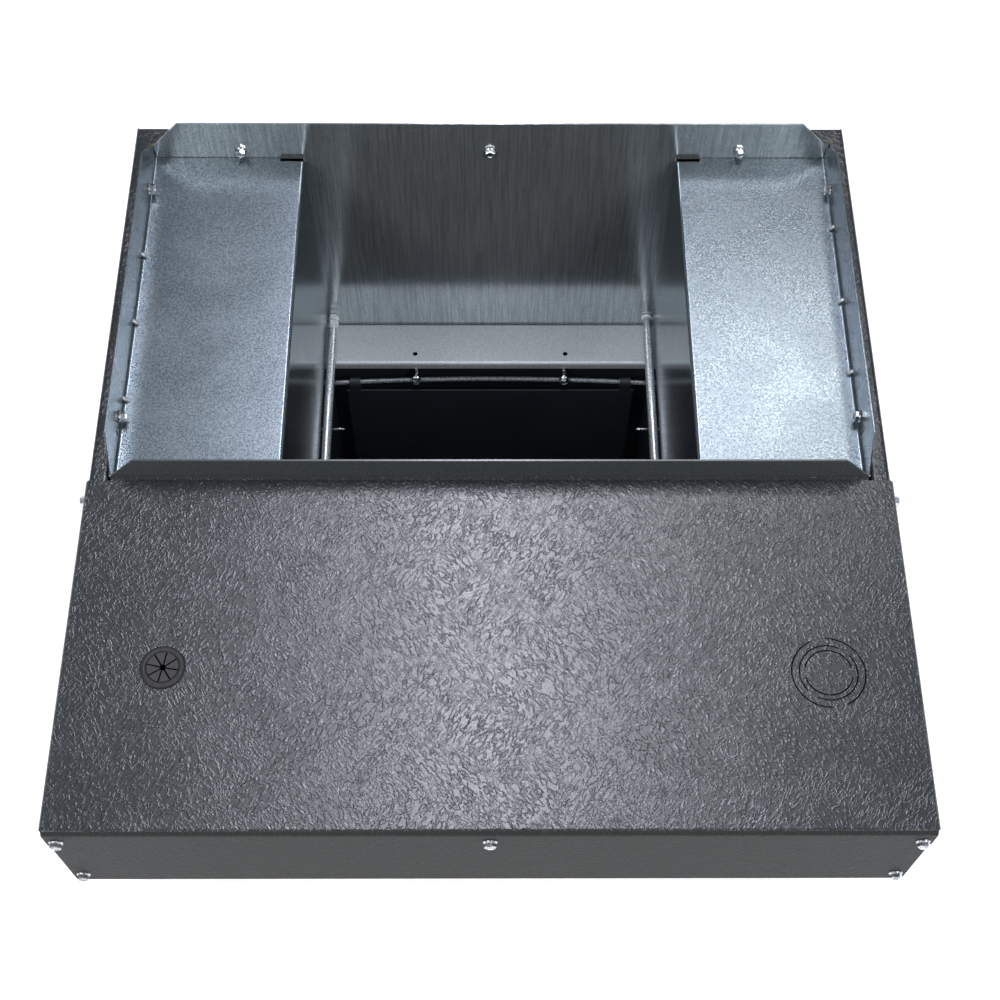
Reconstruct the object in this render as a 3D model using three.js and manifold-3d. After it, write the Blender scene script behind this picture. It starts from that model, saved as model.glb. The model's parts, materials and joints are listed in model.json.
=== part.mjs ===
import * as THREE from 'three';
import { mergeVertices } from 'three/addons/utils/BufferGeometryUtils.js';
import Module from 'manifold-3d';

// A steel parcel drop box. Parcels come down a square throat in the top, which has standing collars
// for a chute, and are taken out through a locked door under the overhanging front.
// Millimetres, +Z up, the front faces -Y. The origin is the middle of the underside.

// Overall sizes
const width = 508;             // across the hood
const depth = 518;             // front fold to back panel
const height = 432;            // underside to the hood's top face

// Sheets
const shell = 1.2;             // coated outer sheets
const liner = 1.0;             // galvanised sheets
const bend = 1.5;              // inner radius of a fold
const gap = 0.3;               // between pieces that touch
const weldGap = 0.5;           // at mitred and butted edges
const over = 1;                // how far a cutting shape reaches past what it cuts
const foldSteps = 4;           // flat strips in a fold

// Hood and front panel
const hoodDepth = 230;
const hoodFold = 20;           // folds down at the front and the sides
const hoodBend = 2.5;
const hoodLip = 20;            // stands up at the rear edge
const hoodLipInset = 16;
const hoodLipCut = 17;
const hoodRelief = 4;          // open corner between two folds
const faceHeight = 98;         // hood top to the front panel's foot
const recess = 96;             // front fold back to the door
const panelReturn = 16;

// Body sheets
const rimLip = 12;
const frontFlange = 15;
const doorFlange = 18;
const backFlange = 14;
const baseRise = 20;
const anchorHole = 10;
const anchorInset = 60;

// Collars, shoulder plates and throat
const collarInset = 15;        // outer side of the box to a side collar's inner face
const rearInset = 18.6;        // back panel to the rear collar's inner face
const collarRise = 23;         // above the hood
const plateDrop = 12;          // below the hood
const collarFrontCut = 16;
const collarRearCut = 25;
const rearCollarCut = 20;
const throatWidth = 266;
const wallDrop = 256;          // hood top to the foot of the throat's side walls
const notchLength = 17;
const notchWidth = 3.5;
const slotLength = 7;
const slotWidth = 1.8;
const slotOffset = 13;
const slotBelowRim = 2;

// Ledge, rails, sleeve and flap
const ledgeDrop = 218;
const ledgeDepth = 40;
const ledgeLip = 7;
const ledgeTail = 14;
const ledgeHole = 4;
const ledgeHoleSideInset = 71.5;
const ledgeHoleFrontInset = 10;
const railDiameter = 7;
const railDrop = 208;
const ferruleDiameter = 8;
const ferruleLength = 12;
const sleeveDrop = 232;        // hood top to the sleeve's side edges
const sleeveRearDrop = 238;
const sleeveRearInset = 31;    // rear collar to the sleeve's rear wall
const sleeveFoot = 50;
const rodDiameter = 4;
const rodDrop = 240;
const rodStandOff = 9;         // rod's middle in front of the sleeve's rear wall
const rodBow = 4.5;
const rodBoltInset = 71.7;     // from the sleeve's sides
const flapSideRoom = 13;       // the sleeve screws' tips stay outside the flap
const flapFootRoom = 8;
const flapTopRoom = 2;
const flapHem = 3.6;
const loopInset = 7;           // from the flap's sides to a loop's middle
const loopWidth = 9;
const loopRoom = 1.2;

// Cable hole and knockout
const grommetInset = 61;
const grommetFromFront = 101;
const grommetHole = 22;
const grommetFlange = 27;
const grommetRise = 1.6;
const grommetSlits = 8;
const grommetSlit = 0.4;
const grommetSlitLength = 15.8;
const grommetEye = 1.2;
const grommetLip = 2;
const grommetRound = 0.8;
const grommetMembrane = 0.8;
const grommetTurn = -10;       // degrees
const knockoutInset = 54.4;
const knockoutFromFront = 97.5;
const knockoutRings = [28.2, 34.5, 43.7];
const knockoutSlit = 0.8;
const knockoutTab = 0.42;      // radians
const knockoutTurn = 0.9;      // radians from one ring's tabs to the next ring's

// Screws
const screwShank = 3.2;
const screwWasher = 8.4;
const screwWasherThick = 0.9;
const screwHex = 6.4;
const screwHexHigh = 3;
const screwLength = 8;
const screwTip = 0.4;
const washerSlope = 0.4;
const rodBoltSpare = 4;
const sleeveScrewLength = 15;
const screwBelowRim = 5.5;
const rearScrewInset = 61.5;   // from the side collars
const sideScrewFront = 48;     // behind the hood's lip
const sideScrewRear = 34.4;    // in front of the rear collar
const hoodScrewInset = 12;     // in front of the hood's rear edge
const hoodScrewDrop = 10;
const frontScrewInset = 8;
const frontScrewDrop = 14;
const sleeveScrewInset = 54.4; // in front of the sleeve's rear wall
const sleeveScrewDrop = 246;

// Door, hinges, lock and pull
const doorRoom = 1.5;
const doorReturn = 15;
const frameFace = 36;          // width of the frame's ring
const hingeHeight = 60;
const hingeInset = 52;
const hingeLeaf = 16;
const leafThick = 1.5;
const knuckleRadius = 2.6;
const pinRadius = 1.3;
const hingeStandOff = 3;
const knuckleRoom = 0.5;       // round the other leaf's knuckles
const pinHead = 1.6;
const knuckles = 3;
const lockFromEdge = 37;
const lockDiameter = 19;
const lockHead = 23;
const lockHeadThick = 2.5;
const lockChamfer = 1;
const keyway = new THREE.Vector2(2, 8);
const camRoom = 0.5;           // frame's rear face to the cam
const plugDiameter = 13;
const nutHex = 26;
const nutThick = 4;
const camLength = 32;
const camWidth = 12;
const camThick = 2;
const camScrewHex = 8;
const camScrewThick = 3;
const pullLength = 110;
const pullReach = 28;
const pullBar = 8;
const pullFoot = 16;
const pullFootThick = 3;
const pullCorner = 12;
const pullFromLock = 42;
const bumperDiameter = 10;
const bumperTaper = 0.5;
const bumperRoom = 2;          // door's returns to the frame's ring

// Wiring space
const floorRise = 12;
const blockSize = new THREE.Vector3(64, 24, 20);
const switchSize = new THREE.Vector3(26, 10, 12);
const magnetSize = new THREE.Vector3(26, 8, 10);
const blockPlace = new THREE.Vector2(-90, 40);  // from the knockout
const terminals = 4;
const terminalWall = 2;
const terminalFloor = 5;
const switchFromRing = 40;
const switchRoom = 2;

// Places worked out from the sizes above
const yFront = -depth / 2;
const yBack = depth / 2;
const bodyX = width / 2 - shell - gap;
const innerX = bodyX - shell - gap;
const rimTop = height - shell - gap;
const collarX = width / 2 - collarInset;
const rimX = collarX + liner + gap;
const rearY = yBack - rearInset;
const rimY = rearY + liner + gap;
const plateZ = height - plateDrop;
const collarTop = height + collarRise;
const throatX = throatWidth / 2;
const panelY = yFront + shell + gap;
const sideY = panelY + shell + gap;
const faceZ = height - faceHeight;
const floorZ = faceZ + shell + gap;
const doorY = yFront + recess;
const wallY = yFront + hoodDepth + shell + gap;
const boxY = wallY + liner + gap;
const ledgeZ = height - ledgeDrop;
const sleeveX = throatX - gap;
const sleeveY = rearY - sleeveRearInset;
const rodZ = height - rodDrop;
const rodY = sleeveY - rodStandOff;
const rodEndX = sleeveX - shell - gap;
const frameStandOff = doorReturn + bumperRoom;
const frameY = doorY + frameStandOff;
const frameReturn = frameStandOff - shell - gap - bend;
const lockLength = frameStandOff + shell + camRoom - 2 * gap;
const sideScrewYs = [['front', yFront + hoodDepth + sideScrewFront], ['rear', rearY - sideScrewRear]];
const openX = bodyX - doorFlange;
const doorX = openX - doorRoom;
const doorFootZ = baseRise + doorRoom + shell;
const doorTopZ = faceZ - doorRoom;
const hingeX = -(openX + doorX) / 2;
const hingeY = doorY - hingeStandOff;
const lockX = doorX - lockFromEdge;
const lockZ = (doorFootZ + doorTopZ) / 2;

const wasm = await Module();
wasm.setup();

// A closed geometry as a solid that can be joined and cut.
function solid(geometry) {
  const bare = geometry.clone();
  bare.deleteAttribute('normal');
  bare.deleteAttribute('uv');
  const merged = mergeVertices(bare, 1e-4);
  const index = [];
  for (let i = 0; i < merged.index.count; i += 3) {
    const [a, b, c] = [0, 1, 2].map((k) => merged.index.getX(i + k));
    if (a !== b && b !== c && c !== a) index.push(a, b, c);
  }
  return new wasm.Manifold(new wasm.Mesh({
    numProp: 3,
    vertProperties: new Float32Array(merged.attributes.position.array),
    triVerts: new Uint32Array(index),
  }));
}

// A solid as a geometry with flat faces.
function geometryOf(manifold) {
  const mesh = manifold.getMesh();
  const geometry = new THREE.BufferGeometry();
  geometry.setAttribute('position', new THREE.BufferAttribute(mesh.vertProperties, 3));
  geometry.setIndex(new THREE.BufferAttribute(mesh.triVerts, 1));
  const flat = geometry.toNonIndexed();
  flat.computeVertexNormals();
  return flat;
}

const join = (first, ...rest) => rest.reduce((sum, piece) => sum.add(piece), first);
const cut = (first, ...rest) => rest.reduce((sum, piece) => sum.subtract(piece), first);

function box(x0, x1, y0, y1, z0, z1) {
  const geometry = new THREE.BoxGeometry(x1 - x0, y1 - y0, z1 - z0);
  geometry.translate((x0 + x1) / 2, (y0 + y1) / 2, (z0 + z1) / 2);
  return solid(geometry);
}

function extruded(shape, length, segments) {
  return new THREE.ExtrudeGeometry(shape, { depth: length, bevelEnabled: false, curveSegments: segments });
}

// An outline in (y, z) carried along X, in (x, z) carried along Y, or in (x, y) carried along Z.
function alongX(shape, x0, x1, segments = 12) {
  const geometry = extruded(shape, x1 - x0, segments);
  const turn = new THREE.Matrix4().makeBasis(
    new THREE.Vector3(0, 1, 0), new THREE.Vector3(0, 0, 1), new THREE.Vector3(1, 0, 0));
  geometry.applyMatrix4(turn);
  geometry.translate(x0, 0, 0);
  return solid(geometry);
}

function alongY(shape, y0, y1, segments = 12) {
  const geometry = extruded(shape, y1 - y0, segments);
  geometry.rotateX(Math.PI / 2);
  geometry.translate(0, y1, 0);
  return solid(geometry);
}

function alongZ(shape, z0, z1, segments = 12) {
  const geometry = extruded(shape, z1 - z0, segments);
  geometry.translate(0, 0, z0);
  return solid(geometry);
}

function outline(...points) {
  return new THREE.Shape(points.map(([u, v]) => new THREE.Vector2(u, v)));
}

// A folded sheet's cross-section. The line follows one face, and the sheet lies to its right.
function bentSheet(thickness, radius, ...points) {
  const line = points.map(([u, v]) => new THREE.Vector2(u, v));
  const face = [];
  const reverse = [];
  const rightOf = (d) => new THREE.Vector2(d.y, -d.x);
  line.forEach((point, i) => {
    const before = i > 0 ? point.clone().sub(line[i - 1]).normalize() : null;
    const after = i < line.length - 1 ? line[i + 1].clone().sub(point).normalize() : null;
    if (!before || !after) {
      face.push(point.clone());
      reverse.push(point.clone().addScaledVector(rightOf(before || after), thickness));
      return;
    }
    const turn = Math.sign(before.cross(after));
    const angle = Math.acos(before.dot(after));
    const faceRadius = turn > 0 ? radius : radius + thickness;
    const backRadius = turn > 0 ? radius + thickness : radius;
    const start = point.clone().addScaledVector(before, -faceRadius * Math.tan(angle / 2));
    const centre = start.clone().addScaledVector(rightOf(before), -turn * faceRadius);
    for (let k = 0; k <= foldSteps; k += 1) {
      const swing = turn * angle * k / foldSteps;
      const arm = rightOf(before).multiplyScalar(turn).rotateAround(new THREE.Vector2(), swing);
      face.push(centre.clone().addScaledVector(arm, faceRadius));
      reverse.push(centre.clone().addScaledVector(arm, backRadius));
    }
  });
  return new THREE.Shape([...face, ...reverse.reverse()]);
}

function mirrored(manifold) {
  const geometry = geometryOf(manifold);
  geometry.scale(-1, 1, 1);
  const position = geometry.attributes.position;
  const index = [];
  for (let i = 0; i < position.count; i += 3) index.push(i, i + 2, i + 1);
  geometry.setIndex(index);
  return solid(geometry);
}

// A turned solid about an axis through a point. The profile is in (radius, distance along the axis).
function turned(profile, origin, direction, sides) {
  const points = profile.map(([r, a]) => new THREE.Vector2(r, a));
  const geometry = new THREE.LatheGeometry(points, sides);
  const turn = new THREE.Quaternion().setFromUnitVectors(new THREE.Vector3(0, 1, 0), direction);
  geometry.applyQuaternion(turn);
  geometry.translate(origin.x, origin.y, origin.z);
  return solid(geometry);
}

const at = (x, y, z) => new THREE.Vector3(x, y, z);
const axisX = at(1, 0, 0);
const axisY = at(0, 1, 0);
const axisZ = at(0, 0, 1);
const sides = [['left', -1], ['right', 1]];

const rod = (origin, direction, radius, from, to, count = 16) =>
  turned([[0, from], [radius, from], [radius, to], [0, to]], origin, direction, count);

// Finishes
const finish = (color, roughness, metalness) => ({ color, roughness, metalness });
const coated = finish(0x3d4347, 0.55, 0.2);
const zincSheet = finish(0x9aa5ab, 0.38, 0.9);
const blackSheet = finish(0x171b1f, 0.6, 0.2);
const brightZinc = finish(0xc9cdd0, 0.3, 1.0);
const rubber = finish(0x1b1c1e, 0.8, 0.0);
const moulded = finish(0xd8d4c6, 0.5, 0.0);

const pieces = new Map();
const addPiece = (name, look, manifold) => pieces.set(name, { look, manifold });

// ---- Outer sheets

// The mitre at a rear corner runs from the outer corner to the rim's inner corner. One side of it belongs
// to the side panel and the other to the back panel.
const mitreOuter = [innerX + gap / 2, yBack - shell];
const mitreInner = [rimX - 1, rimY - shell];
const mitreFoot = rimTop - 1.5 * rimLip;

function sidePanel() {
  const lower = bentSheet(shell, bend, [bodyX, yBack], [bodyX, doorY], [openX, doorY]);
  const upper = bentSheet(shell, bend, [bodyX, yBack], [bodyX, sideY], [bodyX - frontFlange, sideY]);
  const rim = bentSheet(shell, bend, [rimX, rimTop - rimLip], [rimX, rimTop], [bodyX, rimTop],
    [bodyX, rimTop - 2 * rimLip]);
  const behindMitre = outline([mitreOuter[0], yBack + 1], mitreOuter, mitreInner,
    [rimX - 2 * rimLip, rimY - shell], [rimX - 2 * rimLip, yBack + over]);
  const rimStart = sideY + shell + gap;
  return cut(
    join(alongZ(lower, 0, faceZ), alongZ(upper, faceZ, rimTop - rimLip), alongY(rim, rimStart, yBack)),
    alongZ(behindMitre, mitreFoot, rimTop + 1),
  );
}
addPiece('side_panel_right', coated, sidePanel());
addPiece('side_panel_left', coated, mirrored(sidePanel()));

const backProfile = bentSheet(shell, bend, [rimY, rimTop - rimLip], [rimY, rimTop], [yBack, rimTop],
  [yBack, 0]);
const beforeMitre = alongZ(outline([mitreOuter[0], mitreOuter[1] + weldGap],
  [mitreInner[0], mitreInner[1] + weldGap],
  [mitreInner[0], rimY - 2 * rimLip], [innerX + rimLip, rimY - 2 * rimLip],
  [innerX + rimLip, mitreOuter[1] + weldGap]), mitreFoot, rimTop + 1);
const backFlangePiece = box(innerX - shell, innerX, yBack - backFlange, yBack - shell / 2, baseRise + gap,
  rimTop - 2 * rimLip);
addPiece('back_panel', coated, cut(
  join(alongX(backProfile, -innerX, innerX), backFlangePiece, mirrored(backFlangePiece)),
  beforeMitre, mirrored(beforeMitre),
));

// ---- Hood

function ringSlit(radius, from, to) {
  const shape = new THREE.Shape();
  shape.absarc(0, 0, radius + knockoutSlit / 2, from, to, false);
  shape.absarc(0, 0, radius - knockoutSlit / 2, to, from, true);
  return shape;
}

const hoodFoldProfile = bentSheet(shell, hoodBend, [yFront, height - hoodFold], [yFront, height],
  [yFront + hoodDepth, height], [yFront + hoodDepth, height + hoodLip]);
const hoodChannel = bentSheet(shell, hoodBend, [-width / 2, height - hoodFold], [-width / 2, height],
  [width / 2, height], [width / 2, height - hoodFold]);
const lipX = width / 2 - hoodLipInset;
const lipCut = alongY(
  outline([lipX, height - 5 * over], [width / 2, height - 5 * over], [width / 2, height + hoodLip + over],
    [lipX - hoodLipCut - 1, height + hoodLip + 1], [lipX, height + 1]),
  yFront + hoodDepth - hoodBend, yFront + hoodDepth + hoodBend + shell);
const grommetX = -(width / 2 - grommetInset);
const grommetY = yFront + grommetFromFront;
const knockoutX = width / 2 - knockoutInset;
const knockoutY = yFront + knockoutFromFront;
const knockoutCuts = knockoutRings.flatMap((diameter, ring) => [0, 1].map((half) => {
  const start = Math.PI * half + ring * knockoutTurn + knockoutTab / 2;
  const slit = ringSlit(diameter / 2, start, start + Math.PI - knockoutTab);
  return alongZ(slit, height - 2 * shell, height + shell, 8).translate([knockoutX, knockoutY, 0]);
}));
addPiece('top_cover', coated, cut(
  join(
    alongX(hoodFoldProfile, -width / 2 + hoodRelief / 2, width / 2 - hoodRelief / 2),
    alongY(hoodChannel, yFront + hoodRelief, yFront + hoodDepth - hoodBend),
  ),
  lipCut, mirrored(lipCut), ...knockoutCuts,
  rod(at(grommetX, grommetY, height), axisZ, grommetHole / 2, -2 * shell, shell, 24),
));

const facePanel = bentSheet(shell, bend, [panelY + panelReturn, faceZ], [panelY, faceZ],
  [panelY, height - hoodFold / 3]);
const returnEnd = box(bodyX - frontFlange - gap, bodyX + over, panelY + shell,
  panelY + panelReturn + over, faceZ - over,
  faceZ + frontFlange);
addPiece('front_panel', coated, cut(alongX(facePanel, -bodyX, bodyX), returnEnd, mirrored(returnEnd)));

const floorProfile = bentSheet(liner, bend, [innerX, floorZ + floorRise], [innerX, floorZ],
  [-innerX, floorZ], [-innerX, floorZ + floorRise]);
addPiece('hood_floor', zincSheet, alongY(floorProfile, sideY + shell + gap + bend, wallY - gap));

// ---- Throat

const wallTop = height - shell - gap;
const wallShoulder = rimTop - rimLip - 2 * gap;
const wallFoot = Math.min(ledgeZ, floorZ - liner);
const throatWall = outline([-innerX, floorZ], [-throatX, floorZ], [-throatX, wallFoot], [throatX, wallFoot],
  [throatX, floorZ], [innerX, floorZ], [innerX, wallShoulder], [rimX - gap, wallShoulder],
  [rimX - gap, wallTop], [-rimX + gap, wallTop], [-rimX + gap, wallShoulder], [-innerX, wallShoulder]);
addPiece('throat_front_wall', zincSheet, alongY(throatWall, wallY, wallY + liner));

function sideBox() {
  const profile = bentSheet(liner, bend, [throatX, height - wallDrop], [throatX, plateZ], [collarX, plateZ],
    [collarX, collarTop]);
  const sheet = alongY(profile, boxY, rearY - gap);
  const frontCorner = outline([boxY - 1, height], [boxY, height], [boxY + collarFrontCut, collarTop],
    [boxY + collarFrontCut, collarTop + 1], [boxY - 1, collarTop + 1]);
  const rearCorner = outline([rearY + 1, height], [rearY - gap, height], [rearY - collarRearCut, collarTop],
    [rearY - collarRearCut, collarTop + 1], [rearY + 1, collarTop + 1]);
  const notch = box(throatX - over, throatX + notchLength, rearY - notchWidth, rearY + over,
    plateZ - 2 * bend - liner, plateZ + over);
  return cut(sheet, alongX(frontCorner, collarX - over, collarX + 2 * over),
    alongX(rearCorner, collarX - over, collarX + 2 * over), notch);
}
// A thin upright slot through a side collar, a little way in front of a screw.
const collarSlot = (side, y) => box(side * collarX - liner - over, side * collarX + liner + over,
  y - slotOffset - slotWidth / 2, y - slotOffset + slotWidth / 2, height - slotLength - slotBelowRim,
  height - slotBelowRim);
addPiece('side_box_left', zincSheet, cut(mirrored(sideBox()), collarSlot(-1, sideScrewYs[0][1])));
addPiece('side_box_right', zincSheet, cut(sideBox(),
  collarSlot(1, sideScrewYs[0][1]), collarSlot(1, sideScrewYs[1][1])));

const rearCollarX = collarX - gap;
const wallHalf = throatX + liner;
const rearStep = plateZ - bend;
const rearFoot = ledgeZ - ledgeTail - liner;
addPiece('liner_back', zincSheet, alongY(
  outline([-rearCollarX, rearStep], [-wallHalf, rearStep], [-wallHalf, rearFoot], [wallHalf, rearFoot],
    [wallHalf, rearStep], [rearCollarX, rearStep], [rearCollarX, height],
    [rearCollarX - rearCollarCut, collarTop], [-rearCollarX + rearCollarCut, collarTop],
    [-rearCollarX, height]),
  rearY, rearY + liner));

const ledgeProfile = bentSheet(liner, bend, [rearY - ledgeDepth, ledgeZ - ledgeLip],
  [rearY - ledgeDepth, ledgeZ],
  [rearY - gap, ledgeZ], [rearY - gap, ledgeZ - ledgeTail]);
const ledgeHoles = [-1, 1].map((side) => rod(
  at(side * (throatX - ledgeHoleSideInset), rearY - ledgeDepth + ledgeHoleFrontInset, ledgeZ),
  axisZ, ledgeHole / 2, -3 * over, over));
addPiece('ledge', zincSheet, cut(alongX(ledgeProfile, -throatX + gap, throatX - gap), ...ledgeHoles));

// The plan's line runs up the left side, across the rear and down the right side.
const sleevePlan = bentSheet(shell, bend, [-sleeveX, boxY], [-sleeveX, sleeveY + shell],
  [sleeveX, sleeveY + shell], [sleeveX, boxY]);
const sleeveStep = box(-sleeveX + shell + bend, sleeveX - shell - bend, sleeveY - over, sleeveY + 2 * shell,
  height - sleeveRearDrop, height - sleeveDrop + 1);
addPiece('lower_sleeve', blackSheet, cut(alongZ(sleevePlan, sleeveFoot, height - sleeveDrop), sleeveStep));

for (const [name, side] of sides) {
  const x = side * (throatX - gap - ferruleDiameter / 2);
  const front = wallY + liner + gap;
  const back = rearY - gap;
  addPiece(`guide_rail_${name}`, brightZinc, turned([[0, front], [railDiameter / 2, front],
    [railDiameter / 2, back - ferruleLength], [ferruleDiameter / 2, back - ferruleLength],
    [ferruleDiameter / 2, back], [0, back]], at(x, 0, height - railDrop), axisY, 12));
}

// The rod bows back towards the sleeve's rear wall in the middle.
const rodDepth = (x) => rodY - rodBow * (x / rodEndX) ** 2;
const rodSteps = 12;
const rodLine = new THREE.CatmullRomCurve3(Array.from({ length: rodSteps + 1 }, (_, i) => {
  const x = rodEndX * (2 * i / rodSteps - 1);
  return at(x, rodDepth(x), rodZ);
}));
const rodSection = new THREE.Shape().absarc(0, 0, rodDiameter / 2, 0, 2 * Math.PI, false);
addPiece('baffle_rod', brightZinc, solid(new THREE.ExtrudeGeometry(rodSection,
  { steps: rodSteps, extrudePath: rodLine, curveSegments: 5, bevelEnabled: false })));

const flapX = sleeveX - shell - flapSideRoom;
const loopX = flapX - loopInset;
const loopY = rodDepth(loopX);
const loopInner = rodDiameter / 2 + loopRoom;
const loopOuter = loopInner + shell;
const flapFoot = sleeveFoot + flapFootRoom;
const flapTop = rodZ - loopOuter - flapTopRoom;
const flapY = loopY - loopOuter;
const loops = [-1, 1].map((side) => rod(at(side * loopX, loopY, rodZ), axisX, loopOuter,
  -loopWidth / 2, loopWidth / 2));
const loopBores = [-1, 1].map((side) => rod(at(side * loopX, loopY, rodZ), axisX, loopInner,
  -loopWidth, loopWidth));
const necks = [-1, 1].map((side) => box(side * loopX - loopWidth / 2, side * loopX + loopWidth / 2,
  flapY, flapY + shell, flapTop - 1, rodZ));
addPiece('throat_flap', blackSheet, cut(
  join(box(-flapX, flapX, flapY, flapY + shell, flapFoot, flapTop),
    box(-flapX, flapX, flapY, flapY + flapHem, flapFoot, flapFoot + shell), ...necks, ...loops),
  ...loopBores));

// ---- Base and door frame

const baseBack = yBack - shell - gap;
const baseFront = doorY + shell + gap + bend;
const anchorHoles = [[-1, -1], [1, -1], [1, 1], [-1, 1]].map(([sx, sy]) => {
  const y = sy < 0 ? baseFront + anchorInset : baseBack - anchorInset;
  return rod(at(sx * (innerX - anchorInset), y, 0), axisZ, anchorHole / 2, -over, 2 * over + shell);
});
addPiece('base_pan', coated, cut(box(-innerX, innerX, baseFront, baseBack, 0, baseRise),
  box(-innerX + shell, innerX - shell, baseFront + shell, baseBack - shell, shell, baseRise + 1),
  ...anchorHoles));

const frameTop = floorZ - gap;
const frameFoot = baseRise + gap;
const ring = cut(box(-innerX, innerX, frameY, frameY + shell, frameFoot, frameTop),
  box(-innerX + frameFace, innerX - frameFace, frameY - over, frameY + 2 * shell, frameFoot + frameFace / 2,
    frameTop - frameFace / 2));
const frameSides = [-1, 1].map((side) => box(Math.min(side * innerX, side * (innerX - shell)),
  Math.max(side * innerX, side * (innerX - shell)), frameY - frameReturn, frameY + shell / 2,
  frameFoot, faceZ));
addPiece('door_frame', zincSheet, join(ring, ...frameSides));

const doorShell = cut(box(-doorX, doorX, doorY, doorY + doorReturn, doorFootZ, doorTopZ),
  box(-doorX + shell, doorX - shell, doorY + shell, doorY + doorReturn + over,
    doorFootZ + shell, doorTopZ - shell));
const lockHole = rod(at(lockX, doorY, lockZ), axisY, lockDiameter / 2 + gap, -over, 2 * shell, 24);
addPiece('retrieval_door', coated, cut(doorShell, lockHole));

// ---- Hinges

function hinge(name, z) {
  const span = hingeHeight / knuckles;
  const axis = at(hingeX, hingeY, z);
  const spanOf = (k) => [-hingeHeight / 2 + k * span + gap / 2, -hingeHeight / 2 + (k + 1) * span - gap / 2];
  const barrel = (odd) => Array.from({ length: knuckles }, (_, k) => k).filter((k) => k % 2 === odd);
  const leaf = (side, own) => {
    const plate = box(Math.min(hingeX, hingeX + side * hingeLeaf),
      Math.max(hingeX, hingeX + side * hingeLeaf),
      doorY - gap - leafThick, doorY - gap, z - hingeHeight / 2 + gap / 2, z + hingeHeight / 2 - gap / 2);
    const clear = barrel(1 - own).map((k) => {
      const [from, to] = spanOf(k);
      return rod(axis, axisZ, knuckleRadius + knuckleRoom, from - gap, to + gap);
    });
    const rounds = barrel(own).map((k) => rod(axis, axisZ, knuckleRadius, ...spanOf(k)));
    const beyond = box(Math.min(hingeX, hingeX - side * hingeLeaf),
      Math.max(hingeX, hingeX - side * hingeLeaf), doorY - hingeLeaf, doorY,
      z - hingeHeight, z + hingeHeight);
    return cut(join(cut(plate, ...clear, beyond), ...rounds),
      rod(axis, axisZ, pinRadius + gap, -hingeHeight, hingeHeight));
  };
  addPiece(`${name}_hinge_frame_leaf`, brightZinc, leaf(-1, 0));
  addPiece(`${name}_hinge_door_leaf`, brightZinc, leaf(1, 1));
  const half = hingeHeight / 2;
  addPiece(`${name}_hinge_pin`, brightZinc, turned([[0, -half - pinHead], [knuckleRadius, -half - pinHead],
    [knuckleRadius, -half - gap], [pinRadius, -half - gap], [pinRadius, half + gap],
    [knuckleRadius, half + gap],
    [knuckleRadius, half + pinHead], [0, half + pinHead]], axis, axisZ, 16));
}
hinge('lower', doorFootZ + hingeInset);
hinge('upper', doorTopZ - hingeInset);

// ---- Lock, pull and bumpers

const lockAt = at(lockX, doorY, lockZ);
const plugRadius = plugDiameter / 2;
addPiece('lock_body', brightZinc, cut(
  turned([[0, -lockHeadThick - gap], [lockHead / 2 - lockChamfer, -lockHeadThick - gap],
    [lockHead / 2, -lockHeadThick - gap + lockChamfer],
    [lockHead / 2, -gap], [lockDiameter / 2, -gap], [lockDiameter / 2, lockLength], [0, lockLength]],
  lockAt, axisY, 24),
  rod(lockAt, axisY, plugRadius + gap, -2 * lockHeadThick, 2 * lockLength, 20)));
const plugBack = lockLength + gap;
addPiece('lock_plug', brightZinc, cut(
  rod(lockAt, axisY, plugRadius, -lockHeadThick, plugBack, 20),
  box(lockX - keyway.x / 2, lockX + keyway.x / 2, doorY - 2 * lockHeadThick, doorY + lockLength / 2,
    lockZ - keyway.y / 2, lockZ + keyway.y / 2)));
const nutCut = rod(lockAt, axisY, lockDiameter / 2 + gap, 0, 3 * nutThick, 24);
addPiece('lock_nut', brightZinc, cut(
  rod(lockAt, axisY, nutHex / 2, shell + gap, shell + gap + nutThick, 6), nutCut));
const camFront = plugBack + gap;
const camPlan = new THREE.Shape();
camPlan.absarc(lockX, lockZ, camWidth / 2, Math.PI, 2 * Math.PI, false);
camPlan.lineTo(lockX + camWidth / 2, lockZ + camLength);
camPlan.lineTo(lockX - camWidth / 2, lockZ + camLength);
addPiece('lock_cam', brightZinc, alongY(camPlan, doorY + camFront, doorY + camFront + camThick, 6));
addPiece('cam_screw', brightZinc, rod(lockAt, axisY, camScrewHex / 2, camFront + camThick + gap,
  camFront + camThick + gap + camScrewThick, 6));

// The pull is a round bar bent to a bow, on two round feet.
function doorPull() {
  const x = lockX - pullFromLock;
  const half = pullLength / 2;
  const corner = pullCorner;
  const root = doorY - gap - pullFootThick / 3;
  const crest = doorY - pullReach;
  const path = new THREE.CurvePath();
  path.add(new THREE.LineCurve3(at(x, root, lockZ - half), at(x, crest + corner, lockZ - half)));
  path.add(new THREE.QuadraticBezierCurve3(at(x, crest + corner, lockZ - half), at(x, crest, lockZ - half),
    at(x, crest, lockZ - half + corner)));
  path.add(new THREE.LineCurve3(at(x, crest, lockZ - half + corner), at(x, crest, lockZ + half - corner)));
  path.add(new THREE.QuadraticBezierCurve3(at(x, crest, lockZ + half - corner), at(x, crest, lockZ + half),
    at(x, crest + corner, lockZ + half)));
  path.add(new THREE.LineCurve3(at(x, crest + corner, lockZ + half), at(x, root, lockZ + half)));
  const section = new THREE.Shape().absarc(0, 0, pullBar / 2, 0, 2 * Math.PI, false);
  const bar = solid(new THREE.ExtrudeGeometry(section,
    { steps: 24, extrudePath: path, curveSegments: 4, bevelEnabled: false }));
  const feet = [-1, 1].map((end) => rod(at(x, doorY, lockZ + end * half), axisY, pullFoot / 2,
    -gap - pullFootThick, -gap, 20));
  return join(bar, ...feet);
}
addPiece('door_pull', brightZinc, doorPull());

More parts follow.
